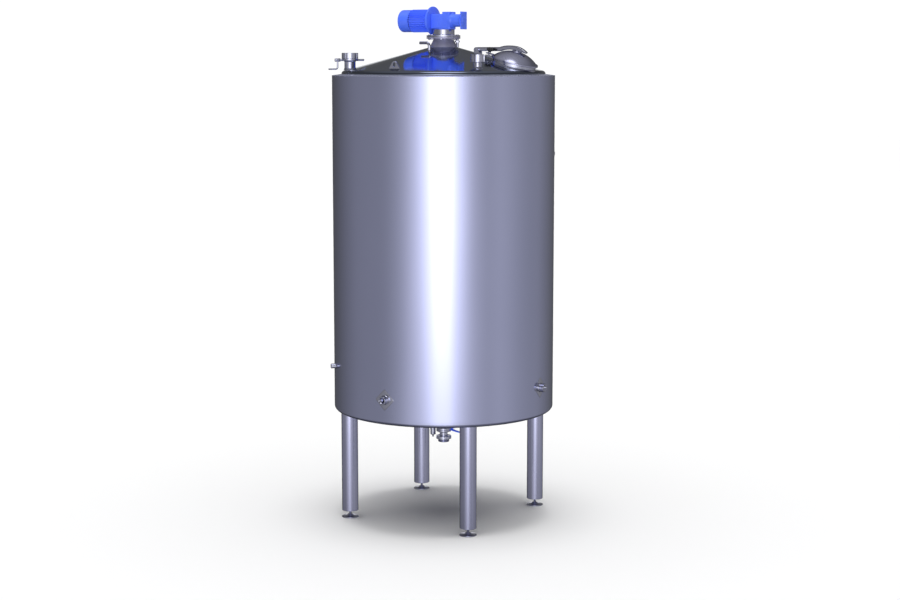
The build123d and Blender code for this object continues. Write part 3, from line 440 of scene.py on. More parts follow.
def paint(name, colour, shade, roughness=0.32):
    # enamel over castings: orange-peel height, small change of shade, clear gloss coat
    material, nodes, links, shader, place = newFinish(name)
    shader.inputs["Coat Weight"].default_value = 0.35
    shader.inputs["Coat Roughness"].default_value = 0.15
    broad = noiseAt(nodes, links, place, (1.0, 1.0, 1.0), 14.0, 3.0)
    links.new(tinted(nodes, links, broad.outputs["Fac"], colour, shade), shader.inputs["Base Color"])
    peel = noiseAt(nodes, links, place, (1.0, 1.0, 1.0), 420.0, 2.0)
    links.new(ramp(nodes, links, peel.outputs["Fac"], roughness - 0.05, roughness + 0.08),
              shader.inputs["Roughness"])
    raised(nodes, links, shader, peel.outputs["Fac"], 0.12, 0.0006)
    return material


def moulded(name, colour, shade, roughness):
    # plastic, rubber or foam: fine grain in height and shade
    material, nodes, links, shader, place = newFinish(name)
    grain = noiseAt(nodes, links, place, (1.0, 1.0, 1.0), 260.0, 4.0)
    links.new(tinted(nodes, links, grain.outputs["Fac"], colour, shade), shader.inputs["Base Color"])
    links.new(ramp(nodes, links, grain.outputs["Fac"], roughness - 0.06, roughness + 0.06),
              shader.inputs["Roughness"])
    raised(nodes, links, shader, grain.outputs["Fac"], 0.25, 0.0004)
    return material


finish = {
    "cladding": steel("polishedCladding", (0.525, 0.55, 0.80), (0.505, 0.53, 0.775), 0.20, (1.0, 1.0, 90.0),
                      40.0, 0.004, 0.012),
    # the roof's colour is painted darker under 3.0967 m, as shade at its rounded edge
    "roof": steel("mirrorRoof", (0.43, 0.48, 0.63), (0.39, 0.44, 0.59), 0.09, (1.0, 1.0, 1.0), 60.0, 0.01,
                  0.03, paintedShadeBelow=3.0967),
    "ring": steel("closingRing", (0.50, 0.52, 0.70), (0.46, 0.48, 0.66), 0.42, (1.0, 1.0, 1.0), 60.0, 0.01,
                  0.03, 0.8),
    "neck": steel("neckSteel", (0.40, 0.40, 0.56), (0.36, 0.36, 0.51), 0.36, (1.0, 1.0, 8.0), 90.0, 0.03,
                  0.04, 0.6),
    "vessel": steel("vesselPlate", (0.52, 0.53, 0.56), (0.45, 0.46, 0.49), 0.34, (1.0, 1.0, 30.0), 12.0),
    "fitting": steel("fittingSteel", (0.55, 0.56, 0.69), (0.49, 0.50, 0.63), 0.22, (1.0, 1.0, 8.0), 90.0,
                     0.03),
    "leg": steel("legTube", (0.54, 0.55, 0.76), (0.49, 0.50, 0.71), 0.24, (1.0, 1.0, 0.05), 160.0, 0.02,
                 0.03),
    "drive": paint("blueEnamel", (0.085, 0.185, 0.98), (0.07, 0.16, 0.94)),
    "handle": paint("blueHandle", (0.05, 0.12, 0.80), (0.04, 0.10, 0.72), 0.36),
    "rubber": moulded("blackRubber", (0.028, 0.028, 0.030), (0.018, 0.018, 0.02), 0.6),
    "knob": moulded("knobPlastic", (0.018, 0.018, 0.02), (0.012, 0.012, 0.013), 0.38),
    "foam": moulded("rigidFoam", (0.80, 0.72, 0.48), (0.70, 0.62, 0.40), 0.85),
    "lid": steel("lidSteel", (0.54, 0.55, 0.74), (0.49, 0.50, 0.69), 0.20, (1.0, 1.0, 1.0), 70.0, 0.01, 0.03),
    "gear": steel("gearSteel", (0.36, 0.36, 0.38), (0.28, 0.28, 0.30), 0.34, (1.0, 1.0, 1.0), 80.0, 0.05)}
print("finishes ready", len(finish))

slotFinish = {"polished_steel": "cladding", "vessel_steel": "vessel", "fitting_steel": "fitting",
              "drive_paint": "drive", "handle_paint": "handle", "seal_rubber": "rubber",
              "knob_plastic": "knob", "foam": "foam", "gear_steel": "gear"}


def dressNodes():
    # every CAD node that stays gets the finish of its record slot
    for node, slot in slotOf.items():
        materials = frame["nodes"][node].data.materials
        materials.clear()
        materials.append(finish[slotFinish[slot]])


# places that several pieces share, in millimetres and read from the frame
lying = turn(90, "Y")
roofAngle = 15.0
slope = np.tan(np.radians(roofAngle))
roofTop = edges("agitator_neck")[0][2] + 14.0 + 90.0 * slope
lanternTop = edges("lantern")[1][2]
motorLine = at(z=(edges("motor_flange")[0][2] + edges("motor_flange")[1][2]) / 2) @ lying
manwayX = 549.0
manwayPlace = at(manwayX, 0, roofTop - manwayX * slope) @ turn(roofAngle, "Y")


def roofLevel(radius):
    return roofTop - radius * slope


# outer sheet: radius, thickness, rounding and fall of its floor, hole for the outlet, rise of the ring
cladding = {"radius": 765.0, "sheet": 3.0, "knuckle": 45.0, "fall": 5.0, "skirt": 4.0, "hole": 46.5,
            "rise": 8.0, "steps": 320}


def makeCladding():
    # turned outlines: straight wall, floor that rounds into a slope of fall degrees, stepped ring
    c = cladding
    base, top = edges("cladding_shell")[0][2], edges("cladding_shell")[1][2]
    outer, inner = c["radius"], c["radius"] - c["sheet"]
    rows = np.linspace(base, top, 12)
    wall = [(outer, z) for z in rows] + [(inner, z) for z in rows[::-1]]
    piece("claddingWall", turned(wall, c["steps"]), "cladding_shell")
    fall = np.tan(np.radians(c["fall"]))
    corner = base - c["knuckle"] * np.tan(np.radians(45 - c["fall"] / 2)) - c["skirt"]
    low = corner - (outer - c["hole"]) * fall
    outside = softLine([(outer, base), (outer, corner), (c["hole"], low)], c["knuckle"], 24)
    inside = softLine([(c["hole"], low + 3.0), (inner, corner + 2.74), (inner, base)],
                      c["knuckle"] - c["sheet"], 24)
    piece("claddingFloor", turned(np.concatenate([outside, inside]), c["steps"]), "cladding_floor")
    ring = [(700.1, top + 3 + c["rise"]), (outer - 3.5, top + 3), (outer, top + 2), (outer, top),
            (outer - 6, top), (700.1, top + c["rise"])]
    piece("closingRing", bevelled(ring, [0, 1.5, 1.5, 0, 0, 0], c["steps"]), "closing_ring", "ring")
    print("cladding")


# cone over the vessel: radius, rounded edge, sheet, and how finely the grid is laid for its holes
roof = {"radius": 700.0, "knuckle": 25.0, "sheet": 4.0, "columns": 520, "cell": 9.0, "inner": 62.0}


def makeRoof():
    # cone r -> top - r * slope with a rounded edge, cut round the manway and the two nozzles
    r = roof
    low = edges("vessel_roof")[0][2]
    corner = roofLevel(r["radius"])
    bend = softLine([(r["radius"], low), (r["radius"], corner), (r["inner"], roofLevel(r["inner"]))],
                    r["knuckle"], 12)
    skirt = [(r["radius"], z) for z in np.linspace(low, bend[1][1], 5)[:-1]]
    reach = np.arange(bend[-2][0] - r["cell"], r["inner"], -r["cell"])
    profile = np.concatenate([skirt, bend[1:-1], np.column_stack([reach, roofLevel(reach)])])
    slant = np.gradient(profile, axis=0)
    slant /= np.linalg.norm(slant, axis=1)[:, None]
    grid = lathe(profile, r["columns"])
    outward = lathe(np.column_stack([slant[:, 1], -slant[:, 0]]), r["columns"])
    quads = gridFaces(r["columns"], len(profile), True, False)
    triangles = np.concatenate([quads[:, [0, 1, 2]], quads[:, [0, 2, 3]]])
    up = np.array([0.0, 0.0, 1.0])
    holes = [(manwayPlace[:3, 3], manwayPlace[:3, 2], 146.0)]
    for nozzle, size in ((inlet, 36.0), (cleaning, 25.8)):
        radius, angle = nozzle["circle"], nozzle["angle"]
        spot = np.radians(angle)
        holes.append((np.array([radius * np.cos(spot), radius * np.sin(spot), roofLevel(radius)]), up, size))
    points, triangles = pierced(grid.reshape(-1, 3), triangles, holes)
    piece("roofSheet", sheetOf(points, triangles, outward.reshape(-1, 3), r["sheet"]), "vessel_roof", "roof")
    print("roof")


# tubes on a circle round the axis, closed by a plate; each foot at its own angle
legs = {"circle": 674.0, "radius": 57.15, "wall": 3.0, "plate": 10.0}
feet = {"front_left": 225, "front_right": 315, "rear_right": 45, "rear_left": 135}


def makeLegs():
    # turned tubes and feet; the spindle's thread is a zigzag of the radius with the height
    g = legs
    low, high = edges("legs")[0][2], edges("legs")[1][2]
    outer, inner = g["radius"], g["radius"] - g["wall"]
    outline = softLine([(8.2, low), (outer, low), (outer, high), (inner, high), (inner, low + g["plate"]),
                        (8.2, low + g["plate"])], [0, 2.0, 0, 0, 3.0, 0], 5, True)
    leg = turned(outline, 72)
    piece("legTubes", merge(*[moved(leg, turn(a, "Z") @ at(g["circle"])) for a in feet.values()]), "legs",
          "leg")
    thread = [(8.0 - 0.9 * (n % 2), 22.0 + 1.25 * n) for n in range(1, 76)]
    pad = softLine([(0, 0), (57.5, 0), (59, 1.5), (59, 5), (56, 7), (24, 9.5), (18, 19), (14, 21), (8.0, 21)],
                   [0, 0.8, 0.8, 1.5, 1.5, 6, 4, 1.5, 0], 5)
    profile = np.concatenate([pad, thread, [(6.5, 118), (0, 118)]])
    for name, angle in feet.items():
        piece("foot" + name.title().replace("_", ""), moved(turned(profile, 48, False),
                turn(angle, "Z") @ at(g["circle"])), "foot_" + name)
    print("legs and feet")


# neck at the roof's middle, with bolts on a circle through both flanges
neck = {"foot": 90.0, "top": 66.0, "wall": 4.0, "flange": 116.0, "bore": 35.0, "thick": 11.0, "circle": 98.0,
        "bolts": 8}


def makeNeck():
    # turned neck, flanges and gasket, with eight bolts half a step off the X axis
    n = neck
    top = edges("agitator_neck")[1][2]
    under = top - n["thick"]
    shoulder = roofLevel(n["foot"])
    foot, flange, bore, wall = n["foot"], n["flange"], n["bore"], n["wall"]
    outline = [(foot, shoulder - 14), (foot, shoulder + 6), (foot - 6, shoulder + 20), (n["top"], under),
               (flange, under), (flange, top), (bore, top), (bore, under - 1), (n["top"] - wall, under - 1),
               (foot - 6 - wall, shoulder + 18), (foot - wall, shoulder + 4), (foot - wall, shoulder - 14)]
    shape = bevelled(outline, [0, 8, 10, 3, 1.6, 1.6, 1, 0, 1, 8, 5, 0], 128, 6)
    bead = bevelled([(88, shoulder - 3), (95.5, shoulder - 3), (93.5, shoulder + 2.5), (90, shoulder + 6),
                     (88, shoulder + 6)], [0, 1, 3, 1, 0], 128)
    piece("agitatorNeck", merge(shape, bead), "agitator_neck", "neck")
    base, high = edges("lantern")[0][2], lanternTop
    head = base + n["thick"]
    outline = [(60, base), (flange, base), (flange, head), (76, head), (76, high), (30, high), (30, high - 8),
               (70, high - 8), (70, head), (60, head - 2)]
    piece("lanternFlange", bevelled(outline, [0, 1.6, 1.6, 5, 1.5, 0, 0, 2, 2, 0], 128, 6), "lantern")
    piece("neckGasket", turned([(60, top), (87.5, top), (88, top + 0.75), (87.5, top + 1.5), (60, top + 1.5)],
                               96), "neck_gasket")
    stud = bevelled([(0, under - 8), (6, under - 8), (6, head), (0, head)], [0, 1, 0, 0], 24, 4, closed=False)
    washer = turned([(6.2, head), (10.5, head), (10.5, head + 0.9), (6.2, head + 0.9)], 32)
    bolt = merge(hexHead(18, head + 0.9, head + 5), washer, stud, moved(hexHead(18, -under, -under + 5),
            turn(180, "X")))
    spots = [moved(bolt, turn(45 * (k + 0.5), "Z") @ at(n["circle"])) for k in range(n["bolts"])]
    piece("flangeBolts", merge(*spots), "flange_bolts", sharp=25)
    print("neck and lantern")


# gear casting along X, from the motor's side to the end cover
gear = {"half": 42.5, "left": -77.0, "step": 13.0, "block": 73.0, "end": 155.0, "cover": 165.0, "neck": 43.0}


def capScrew(radius, height):
    # socket-head screw: turned head with a six-sided recess
    angle = np.linspace(0, 2 * np.pi, 48, endpoint=False)
    outer = np.full(48, radius)
    hexagon = 0.52 * radius / np.cos((angle + np.pi / 6) % (np.pi / 3) - np.pi / 6)
    rows = [(outer, 0.0), (outer, height * 0.85), (outer * 0.9, height), (hexagon, height),
            (hexagon, height * 0.4)]
    skin = prism(rows)
    floor = turned([(0, height * 0.4), (0.62 * radius, height * 0.4), (0.62 * radius, 0), (0, 0)], 48, False)
    return merge(skin, floor)


def makeGear():
    # rounded boxes for the casting, a turned neck between them, and ribs 1.6 mm proud
    g = gear
    base = lanternTop
    half = g["half"]
    low, high, tall = base + 5, base + 105, base + 119
    adapter = roundedBox((g["left"], -half, low), (g["step"] + 8, half, high), 7)
    block = roundedBox((g["step"], -half, base), (g["block"], half, tall), 5)
    boss = bevelled([(0, base), (42, base), (42, low + 8), (0, low + 8)], [0, 2, 0, 0], closed=False)
    middle = motorLine[2, 3]
    waist = softLine([(0, 60), (50, 60), (g["neck"] + 8, g["block"] + 3), (g["neck"], g["block"] + 14),
                      (g["neck"], g["end"] - 16), (g["neck"] + 10, g["end"] - 2),
                      (g["neck"] - 8, g["end"] - 0.1), (0, g["end"] - 0.1)], [0, 0, 6, 8, 8, 3, 0, 0], 7)
    waist = moved(turned(waist, 96, False), motorLine)
    lid = roundedBox((8, -30, high - 4), (12.5, 30, tall - 6), 2)
    ribs = [roundedBox((g["left"] + 16 + 26 * k, side * half - 1.6, low + 9), (g["left"] + 20 + 26 * k,
            side * half + 0.0, high - 9), 0.8) for k in range(3) for side in (-1, 1)]
    piece("gearCasting", merge(adapter, block, boss, waist, lid, *ribs), "gearbox_housing", sharp=40)
    plate = roundedBox((g["end"], -40, base), (g["cover"] - 3, 40, tall), 2.0)
    screws = [moved(capScrew(4.5, 2.9), at(g["cover"] - 3, y, z) @ lying) for y in (-31, 31)
              for z in (base + 10, tall - 10)]
    centre = moved(bevelled([(0, 0), (26, 0), (24, 2.8), (0, 2.8)], [0, 0, 1, 0], 64, closed=False),
                   at(g["cover"] - 3, 0, middle) @ lying)
    piece("gearCover", merge(plate, centre, *screws), "gearbox_cover", sharp=40)
    print("gear unit")


# levels along the motor's axis and radii round it
motor = {"flange": 97.0, "front": -89.0, "rear": -243.0, "shield": 23.0, "body": 65.0, "fin": 78.0,
         "fins": 30, "bore": 58.5, "cowl": 76.0, "cowlEnd": -330.0, "bend": 16.0, "grille": 48.0}


def makeMotor():
    m = motor
    disc = bevelled([(22, m["front"]), (m["flange"], m["front"]), (m["flange"], -77.0), (22, -77.0)],
                    [0, 2.5, 2.5, 0], 144, 6)
    heads = [moved(hexHead(13, 0, 5.5), turn(45 + 90 * k, "Z") @ at(86, 0, m["front"]) @ turn(180, "X"))
             for k in range(4)]
    piece("motorFlange", moved(merge(disc, *heads), motorLine), "motor_flange", sharp=35)
    # fins: the radius steps between root and crest with short slopes, m["fins"] times round
    count = m["fins"] * 12
    phase = np.arange(count) % 12
    crest = np.select([np.isin(phase, (5, 6)), np.isin(phase, (4, 7))], [1.0, 0.94], 0.0)
    full = m["body"] + (m["fin"] - m["body"]) * crest
    root = np.full(count, m["body"])
    step = m["front"] - m["shield"]
    inner = np.full(count, m["bore"])
    rows = [(inner, m["rear"]), (root, m["rear"]), (full - 1.5 * crest, m["rear"] + 0.2),
            (full, m["rear"] + 2), (full, step - 2), (full - 2.5 * crest, step), (root + 0.2, step + 0.3),
            (root + 5.0, step + 0.6), (root + 6.0, step + 2.0), (root + 6.0, m["front"] - 1.5),
            (root + 4.5, m["front"]), (inner, m["front"])]
    barrel = prism(rows)
    piece("motorBarrel", moved(barrel, motorLine), "motor_housing", sharp=38)
    end = m["cowlEnd"]
    outer, inside = m["cowl"], m["cowl"] - 2.5
    shell = np.concatenate([
        softLine([(outer, m["rear"]), (outer, end), (m["grille"], end)], m["bend"], 14),
        softLine([(m["grille"], end + 2.5), (inside, end + 2.5), (inside, m["rear"])], m["bend"] - 2.5, 14)])
    wires = [turned([(radius + 1.5 * np.cos(a), end + 1.7 + 1.5 * np.sin(a))
                     for a in np.linspace(0, 2 * np.pi, 12, endpoint=False)], 96) for radius in (14, 22, 30,
            38, 46)]
    wheel = [moved(swept([(6, 0, end + 2.0), (30, 0, end + 2.0), (49, 0, end + 2.0)], 1.5, 10),
                   turn(45 * k, "Z")) for k in range(8)]
    hub = bevelled([(0, end + 0.3), (9, end + 0.3), (9, end + 3.0), (0, end + 3.0)], [0, 1, 0, 0], 48, 4,
                   closed=False)
    screws = [moved(capScrew(3.2, 1.9), turn(60 + 120 * k, "Z") @ at(outer - 1.9, 0, m["rear"] - 9) @ turn(90,
            "Y")) for k in range(3)]
    piece("fanCowl", moved(merge(turned(shell, 144), *wires, *wheel, hub, *screws), motorLine), "fan_cowl",
          sharp=35)
    lo, hi = edges("terminal_box")
    box = roundedBox((lo[0], lo[1] + 0.2, lo[2] + 18), (hi[0], hi[1] - 4, hi[2]), 6)
    top = roundedBox((lo[0] + 3, hi[1] - 6, lo[2] + 21), (hi[0] - 3, hi[1], hi[2] - 3), 2.5)
    middle = (lo + hi) / 2
    gland = moved(bevelled([(0, 0), (6, 0), (9, 2), (9, 10), (8, 12), (8, 19), (0, 19)],
                           [0, 1, 1, 1, 1, 0, 0], 40, 4, closed=False), at(middle[0], middle[1] - 1, lo[2]))
    piece("terminalBox", merge(box, top, gland), "terminal_box", sharp=40)
    print("motor")


# collar, domed lid as part of a sphere, clamp beside it and the hinge's place along X
manway = {"collar": 148.0, "wall": 4.0, "height": 28.0, "lid": 160.0, "sphere": 217.6, "rimRadius": 158.0,
          "rimLevel": 26.7, "clamp": (-178.0, -47.0), "knob": 24.0, "hingeX": 272.0}


def makeManway():
    # turned in the tilted plane of the opening: the dome's outline is sphere * (sin a, cos a)
    m = manway
    outer, inner, height = m["collar"], m["collar"] - m["wall"], m["height"]
    tube = bevelled([(inner, -22), (outer, -22), (outer, height), (inner, height)], [0.8, 0.8, 1.8, 1.8], 160)
    bead = bevelled([(outer - 1, -6), (outer + 6, -6), (outer + 2.5, 1), (outer - 1, 5)], [0, 1, 3, 0], 160)
    x, y = m["clamp"]
    lug = roundedBox((x - 18, y - 18, 8), (-outer + 14, y + 18, height - 6), 3)
    piece("manwayCollar", moved(merge(tube, bead, lug), manwayPlace), "manway_collar")
    seal = height + 3.0
    ring = softLine([(inner - 2, height + 0.3), (outer + 4, height + 0.3), (outer + 4, seal),
                     (inner - 2, seal)], 0.9, 4, True)
    piece("lidSeal", moved(turned(ring, 128), manwayPlace), "manway_gasket")
    centre = m["rimLevel"] - np.sqrt(m["sphere"] ** 2 - m["rimRadius"] ** 2)
    tilt = np.arcsin((m["rimRadius"] - 7) / m["sphere"])
    arc = np.linspace(0, tilt, 40)
    top = np.column_stack([m["sphere"] * np.sin(arc), centre + m["sphere"] * np.cos(arc)])
    rim = softLine([tuple(top[-1]), (m["lid"] - 3, seal + 4.5), (m["lid"], seal + 1), (m["lid"], height - 6),
                    (m["lid"] - 7.6, height - 6), (m["lid"] - 7.6, seal + 0.1), (inner - 2, seal + 0.1),
                    (inner - 2, seal + 2.5)], [0, 6, 2, 1.5, 1.5, 1, 1, 1], 6)
    inside = m["sphere"] - 3
    back = np.linspace(np.arcsin(144.0 / inside), 0, 40)
    under = np.column_stack([inside * np.sin(back), centre + inside * np.cos(back)])
    dome = turned(np.concatenate([top, rim[1:], under]), 192, False)
    tongue = roundedBox((x - 18, y - 18, seal - 0.9), (-m["lid"] + 16, y + 18, seal + 7), 2.5)
    pad = bevelled([(0, centre + m["sphere"] - 1), (34, centre + m["sphere"] - 3.2),
                    (34, centre + m["sphere"] + 0.8), (28, centre + m["sphere"] + 2.0),
                    (0, centre + m["sphere"] + 2.4)], [0, 0, 2, 3, 0], 64, closed=False)
    piece("manwayLid", moved(merge(dome, tongue, pad), manwayPlace), "manway_lid", "lid",
          slot="polished_steel")
    makeArm(centre)
    screw = bevelled([(0, 10), (5, 10), (5, seal + 7.3), (9, seal + 7.3), (9, seal + 13), (5, seal + 13),
                      (5, seal + 42), (0, seal + 42)], [0, 1, 0, 1, 1, 0, 1, 0], 36, 4, closed=False)
    spot = manwayPlace @ at(x, y)
    piece("clampScrew", moved(screw, spot), "clamp_screw")
    # knob: six lobes, the radius is a raised cosine of six times the angle, drawn in at top and bottom
    angle = np.linspace(0, 2 * np.pi, 180, endpoint=False)
    lobes = m["knob"] - 7.0 * (0.5 - 0.5 * np.cos(6 * angle)) ** 1.6
    plain = np.full(180, 5.05)
    low = seal + 13.2
    rows = [(plain, low), (plain + 5, low), (plain + 7, low + 6), (lobes - 5, low + 8),
            (lobes - 1.5, low + 9.5), (lobes, low + 12), (lobes, low + 22), (lobes - 1.5, low + 25),
            (lobes - 5, low + 27.5), (plain + 6, low + 29), (plain + 4, low + 30.5), (plain * 0.02, low + 31),
            (plain * 0.02, low + 29.4), (plain, low + 29.3)]
    piece("starKnob", moved(prism(rows), spot), "star_knob", sharp=50)
    print("manway")


def makeArm(centre):
    # flat bar along a circle above the dome, straight at the hinge and thinner towards its free end
    m = manway
    tilt = np.radians(roofAngle)
    base = manwayPlace[:3, 3]
    middle = np.array([base[0] + centre * np.sin(tilt), 0.0, base[2] + centre * np.cos(tilt)])
    inner, depth = m["sphere"] + 4.4, 28.5
    pinX = m["hingeX"]
    start = np.radians(-17.0)
    line = inner + depth / 2
    level = middle[2] + line * np.cos(start)
    pinZ = middle[2] + inner * np.cos(start) + 9
    angle = np.radians(np.linspace(-17, 32.5, 60))
    arc = np.column_stack([middle[0] + line * np.sin(angle), np.zeros(60), middle[2] + line * np.cos(angle)])
    lead = np.column_stack([np.linspace(pinX, arc[0, 0], 12)[:-1], np.zeros(11), np.linspace(level, arc[0, 2],
            12)[:-1]])
    path = np.concatenate([lead, arc])
    share = np.clip((np.degrees(angle) - 14) / 18.5, 0, 1)
    thick = np.concatenate([np.full(11, depth - 0.6), (depth - 0.6) * (1 - 0.62 * share ** 1.6)])
    armBar = barAlong(path, 35.4, thick, 5.0)
    barrel = moved(bevelled([(6.3, -17.8), (15, -17.8), (15, 17.8), (6.3, 17.8)], [0, 1.5, 1.5, 0], 64),
                   at(pinX, 0, pinZ) @ turn(90, "X"))
    post = moved(bevelled([(0, m["sphere"] - 2), (20, m["sphere"] - 2), (15, m["sphere"] + 2),
                           (15, inner + 6), (0, inner + 6)], [0, 0, 3, 0, 0], 48, closed=False),
                 at(*middle) @ turn(roofAngle, "Y"))
    piece("lidArm", merge(armBar, barrel, post), "lid_arm", sharp=40)
    foot = roofLevel(pinX)
    ears = []
    for side in (-1, 1):
        outline = np.concatenate([[(20, foot - pinZ - 4.6), (-20, foot - pinZ + 6.1)],
                                  arcPoints((0, 0), 18, 205, -25, 28)])
        near = 18.3 if side > 0 else -27.3
        ears.append(moved(slab(outline, -near - 9.0, -near), at(pinX, 0, pinZ) @ turn(90, "X")))
    bridge = roundedBox((pinX - 21, -27, foot - 4.6), (pinX + 19, 27, foot + 6), 1.5)
    piece("hingeBracket", merge(*ears, bridge), "hinge_bracket")
    pin = bevelled([(0, -30.3), (6, -30.3), (6, 30.3), (0, 30.3)], [0, 1.5, 1.5, 0], 40, closed=False)
    piece("hingePin", moved(pin, at(pinX, 0, pinZ) @ turn(90, "X")), "hinge_pin")


# nozzles: circle and angle on the roof, radii and heights
inlet = {"circle": 652.0, "angle": 225.0, "pipe": 38.0, "bore": 33.5, "mouth": 35.0, "flange": 56.0,
         "rod": 5.5, "drop": 61.0, "reach": 60.0}
cleaning = {"circle": 600.0, "angle": -37.2, "pipe": 26.5, "bore": 25.0, "nut": 46.0, "top": 85.0,
            "nutHeight": 49.0}


def makeInlet():
    # turned body with its stem across it, and a lever of round bar bent through a right angle
    n = inlet
    place = turn(n["angle"], "Z") @ at(n["circle"], 0, roofLevel(n["circle"]) + 62.0)
    outline = [(n["bore"], -90), (n["pipe"], -90), (n["pipe"], -10), (n["flange"], -3), (n["flange"], 8),
               (n["pipe"] + 2, 8), (n["pipe"], 10), (n["pipe"], 48), (n["mouth"], 48), (n["mouth"], 36),
               (n["bore"], 34)]
    tube = bevelled(outline, [0, 0, 6, 1.5, 1.5, 0, 0, 1.2, 0.6, 0, 0])
    foot = bevelled([(37, -66), (44, -66), (40.5, -58), (37, -54)], [0, 1, 3, 0])
    outward = moved(bevelled([(6.2, 48), (7.5, 48), (7.5, 66), (6.2, 66)], 0.5, 40, 4), lying)
    inward = moved(bevelled([(0, 48), (7.5, 48), (7.5, 97.5), (0, 97.5)], [0, 0, 2, 0], 40, closed=False),
                   turn(-90, "Y"))
    piece("inletBody", moved(merge(tube, foot, outward, inward), place), "inlet_valve_body")
    disc = moved(bevelled([(0, -2.5), (33.2, -1.6), (33.2, 1.6), (0, 2.5)], [0, 1, 1, 0], 72, closed=False),
                 turn(90, "X"))
    stem = moved(bevelled([(0, -74), (6, -74), (6, 100), (0, 100)], [0, 1, 1, 0], 32, 4, closed=False), lying)
    piece("inletDisc", moved(merge(disc, stem), place), "inlet_valve_disc")
    hub = moved(bevelled([(6.1, 66.3), (11.5, 66.3), (11.5, 104), (6.1, 104)], [0, 1.2, 1.2, 0], 40, 4),
                lying)
    middle = (66.3 + 104) / 2
    path = softLine([(middle, -6), (middle, -n["drop"]), (middle + n["reach"], -n["drop"])], 14, 16)
    path = np.column_stack([path[:, 0], np.zeros(len(path)), path[:, 1]])
    grip = swept(path, n["rod"], 24)
    tip = moved(bevelled([(0, -2.5), (5.5, -2.5), (5.5, 0.5), (0, 0.5)], [0, 2, 0, 0], 24, closed=False),
                at(*path[-1]) @ turn(-90, "Y"))
    piece("inletLever", moved(merge(hub, grip, tip), place), "inlet_lever")
    return moved(unionNut(n["flange"], n["pipe"] + 0.1, 8.0, 48.0), place)


def makeCleaning():
    # turned nozzle with a thinner drop pipe inside the vessel
    c = cleaning
    place = turn(c["angle"], "Z") @ at(c["circle"], 0, roofLevel(c["circle"]))
    tube = bevelled([(c["bore"], -30), (c["pipe"], -30), (c["pipe"], c["top"]), (c["bore"], c["top"])],
                    [0, 0, 0.5, 0.5], 72, 3)
    foot = bevelled([(26, -9), (33.5, -9), (29, 2), (26, 5)], [0, 1, 3, 0], 72)
    drop = turned([(12, -150), (14, -150), (14, -24), (12, -24)], 40)
    deck = turned([(12, -30), (26, -30), (26, -24), (12, -24)], 48)
    piece("cleaningNozzle", moved(merge(tube, foot, drop, deck), place), "cip_nozzle")
    return moved(unionNut(c["nut"], c["pipe"] + 0.1, c["top"] - c["nutHeight"], c["top"]), place)


# distance from the axis of the vent, the level probe and the two lifting lugs
small = {"vent": 187.0, "probe": 186.0, "lugs": 622.0}


def makeSmallFittings():
    # vent: pipe round a bend; probe: turned rod; lugs: plates with an opening
    place = at(0, -small["vent"], roofLevel(small["vent"]))
    path = softLine([(0, -20), (0, 52), (-74, 52)], 22, 18)
    path = np.column_stack([path[:, 0], np.zeros(len(path)), path[:, 1]])
    pipe = pipeAlong(path, 10.0, 8.5)
    foot = bevelled([(9, -5), (15, -5), (12, 2), (9, 5)], [0, 0.8, 2, 0], 48, 4)
    piece("ventBend", moved(merge(pipe, foot), place), "vent_bend")
    place = at(0, small["probe"], roofLevel(small["probe"]))
    profile = softLine([(0, -300), (4, -300), (4, -22), (10.5, -22), (10.5, 58), (10.5, 70), (10.5, 88),
                        (6, 92), (0, 92)], [0, 1, 0, 0, 0, 0, 2, 1, 0], 4)
    nut = hexHead(30, 58, 70)
    foot = bevelled([(10, -5), (15.5, -5), (12.5, 2), (10, 5)], [0, 0.8, 2, 0], 48, 4)
    piece("levelProbe", moved(merge(turned(profile, 40, False), nut, foot), place), "level_probe", sharp=28)
    # lug: straight flanks that lean in, a round crown, and a slot with half-round ends
    crown = np.radians(np.linspace(20, 160, 25))
    outline = np.concatenate([[(40, -8)], [(40, 2)],
                              np.column_stack([22.4 * np.cos(crown), 24.6 + 22.4 * np.sin(crown)]),
                              [(-40, 2)], [(-40, -8)], [(-13, -8)], [(13, -8)]])
    reach = np.linspace(0, 1, 97)[:-1]
    length = np.concatenate([[0], np.cumsum(np.linalg.norm(np.diff(np.vstack([outline, outline[:1]]), axis=0),
            axis=1))])
    closed = np.vstack([outline, outline[:1]])
    ring = np.column_stack([np.interp(reach * length[-1], length, closed[:, k]) for k in (0, 1)])
    away = ring - (0, 24)
    angle = np.arctan2(away[:, 1], away[:, 0])
    hole = np.column_stack([8.8 * np.cos(angle), 25 + 6 * np.sign(np.sin(angle)) + 8.8 * np.sin(angle)])
    plate = ringSlab(ring, hole, -5.9, 5.9, 0.9)
    flat = turn(90, "X")
    lugs = [moved(plate, at(0, side * small["lugs"], roofLevel(small["lugs"])) @ flat) for side in (-1, 1)]
    piece("liftingLugs", merge(*lugs), "lifting_lugs")
    print("roof fittings")


# sleeves through the cladding and their square plates
sockets = {"sleeve": 29.0, "bore": 21.0, "side": 105.0, "sheet": 2.0}


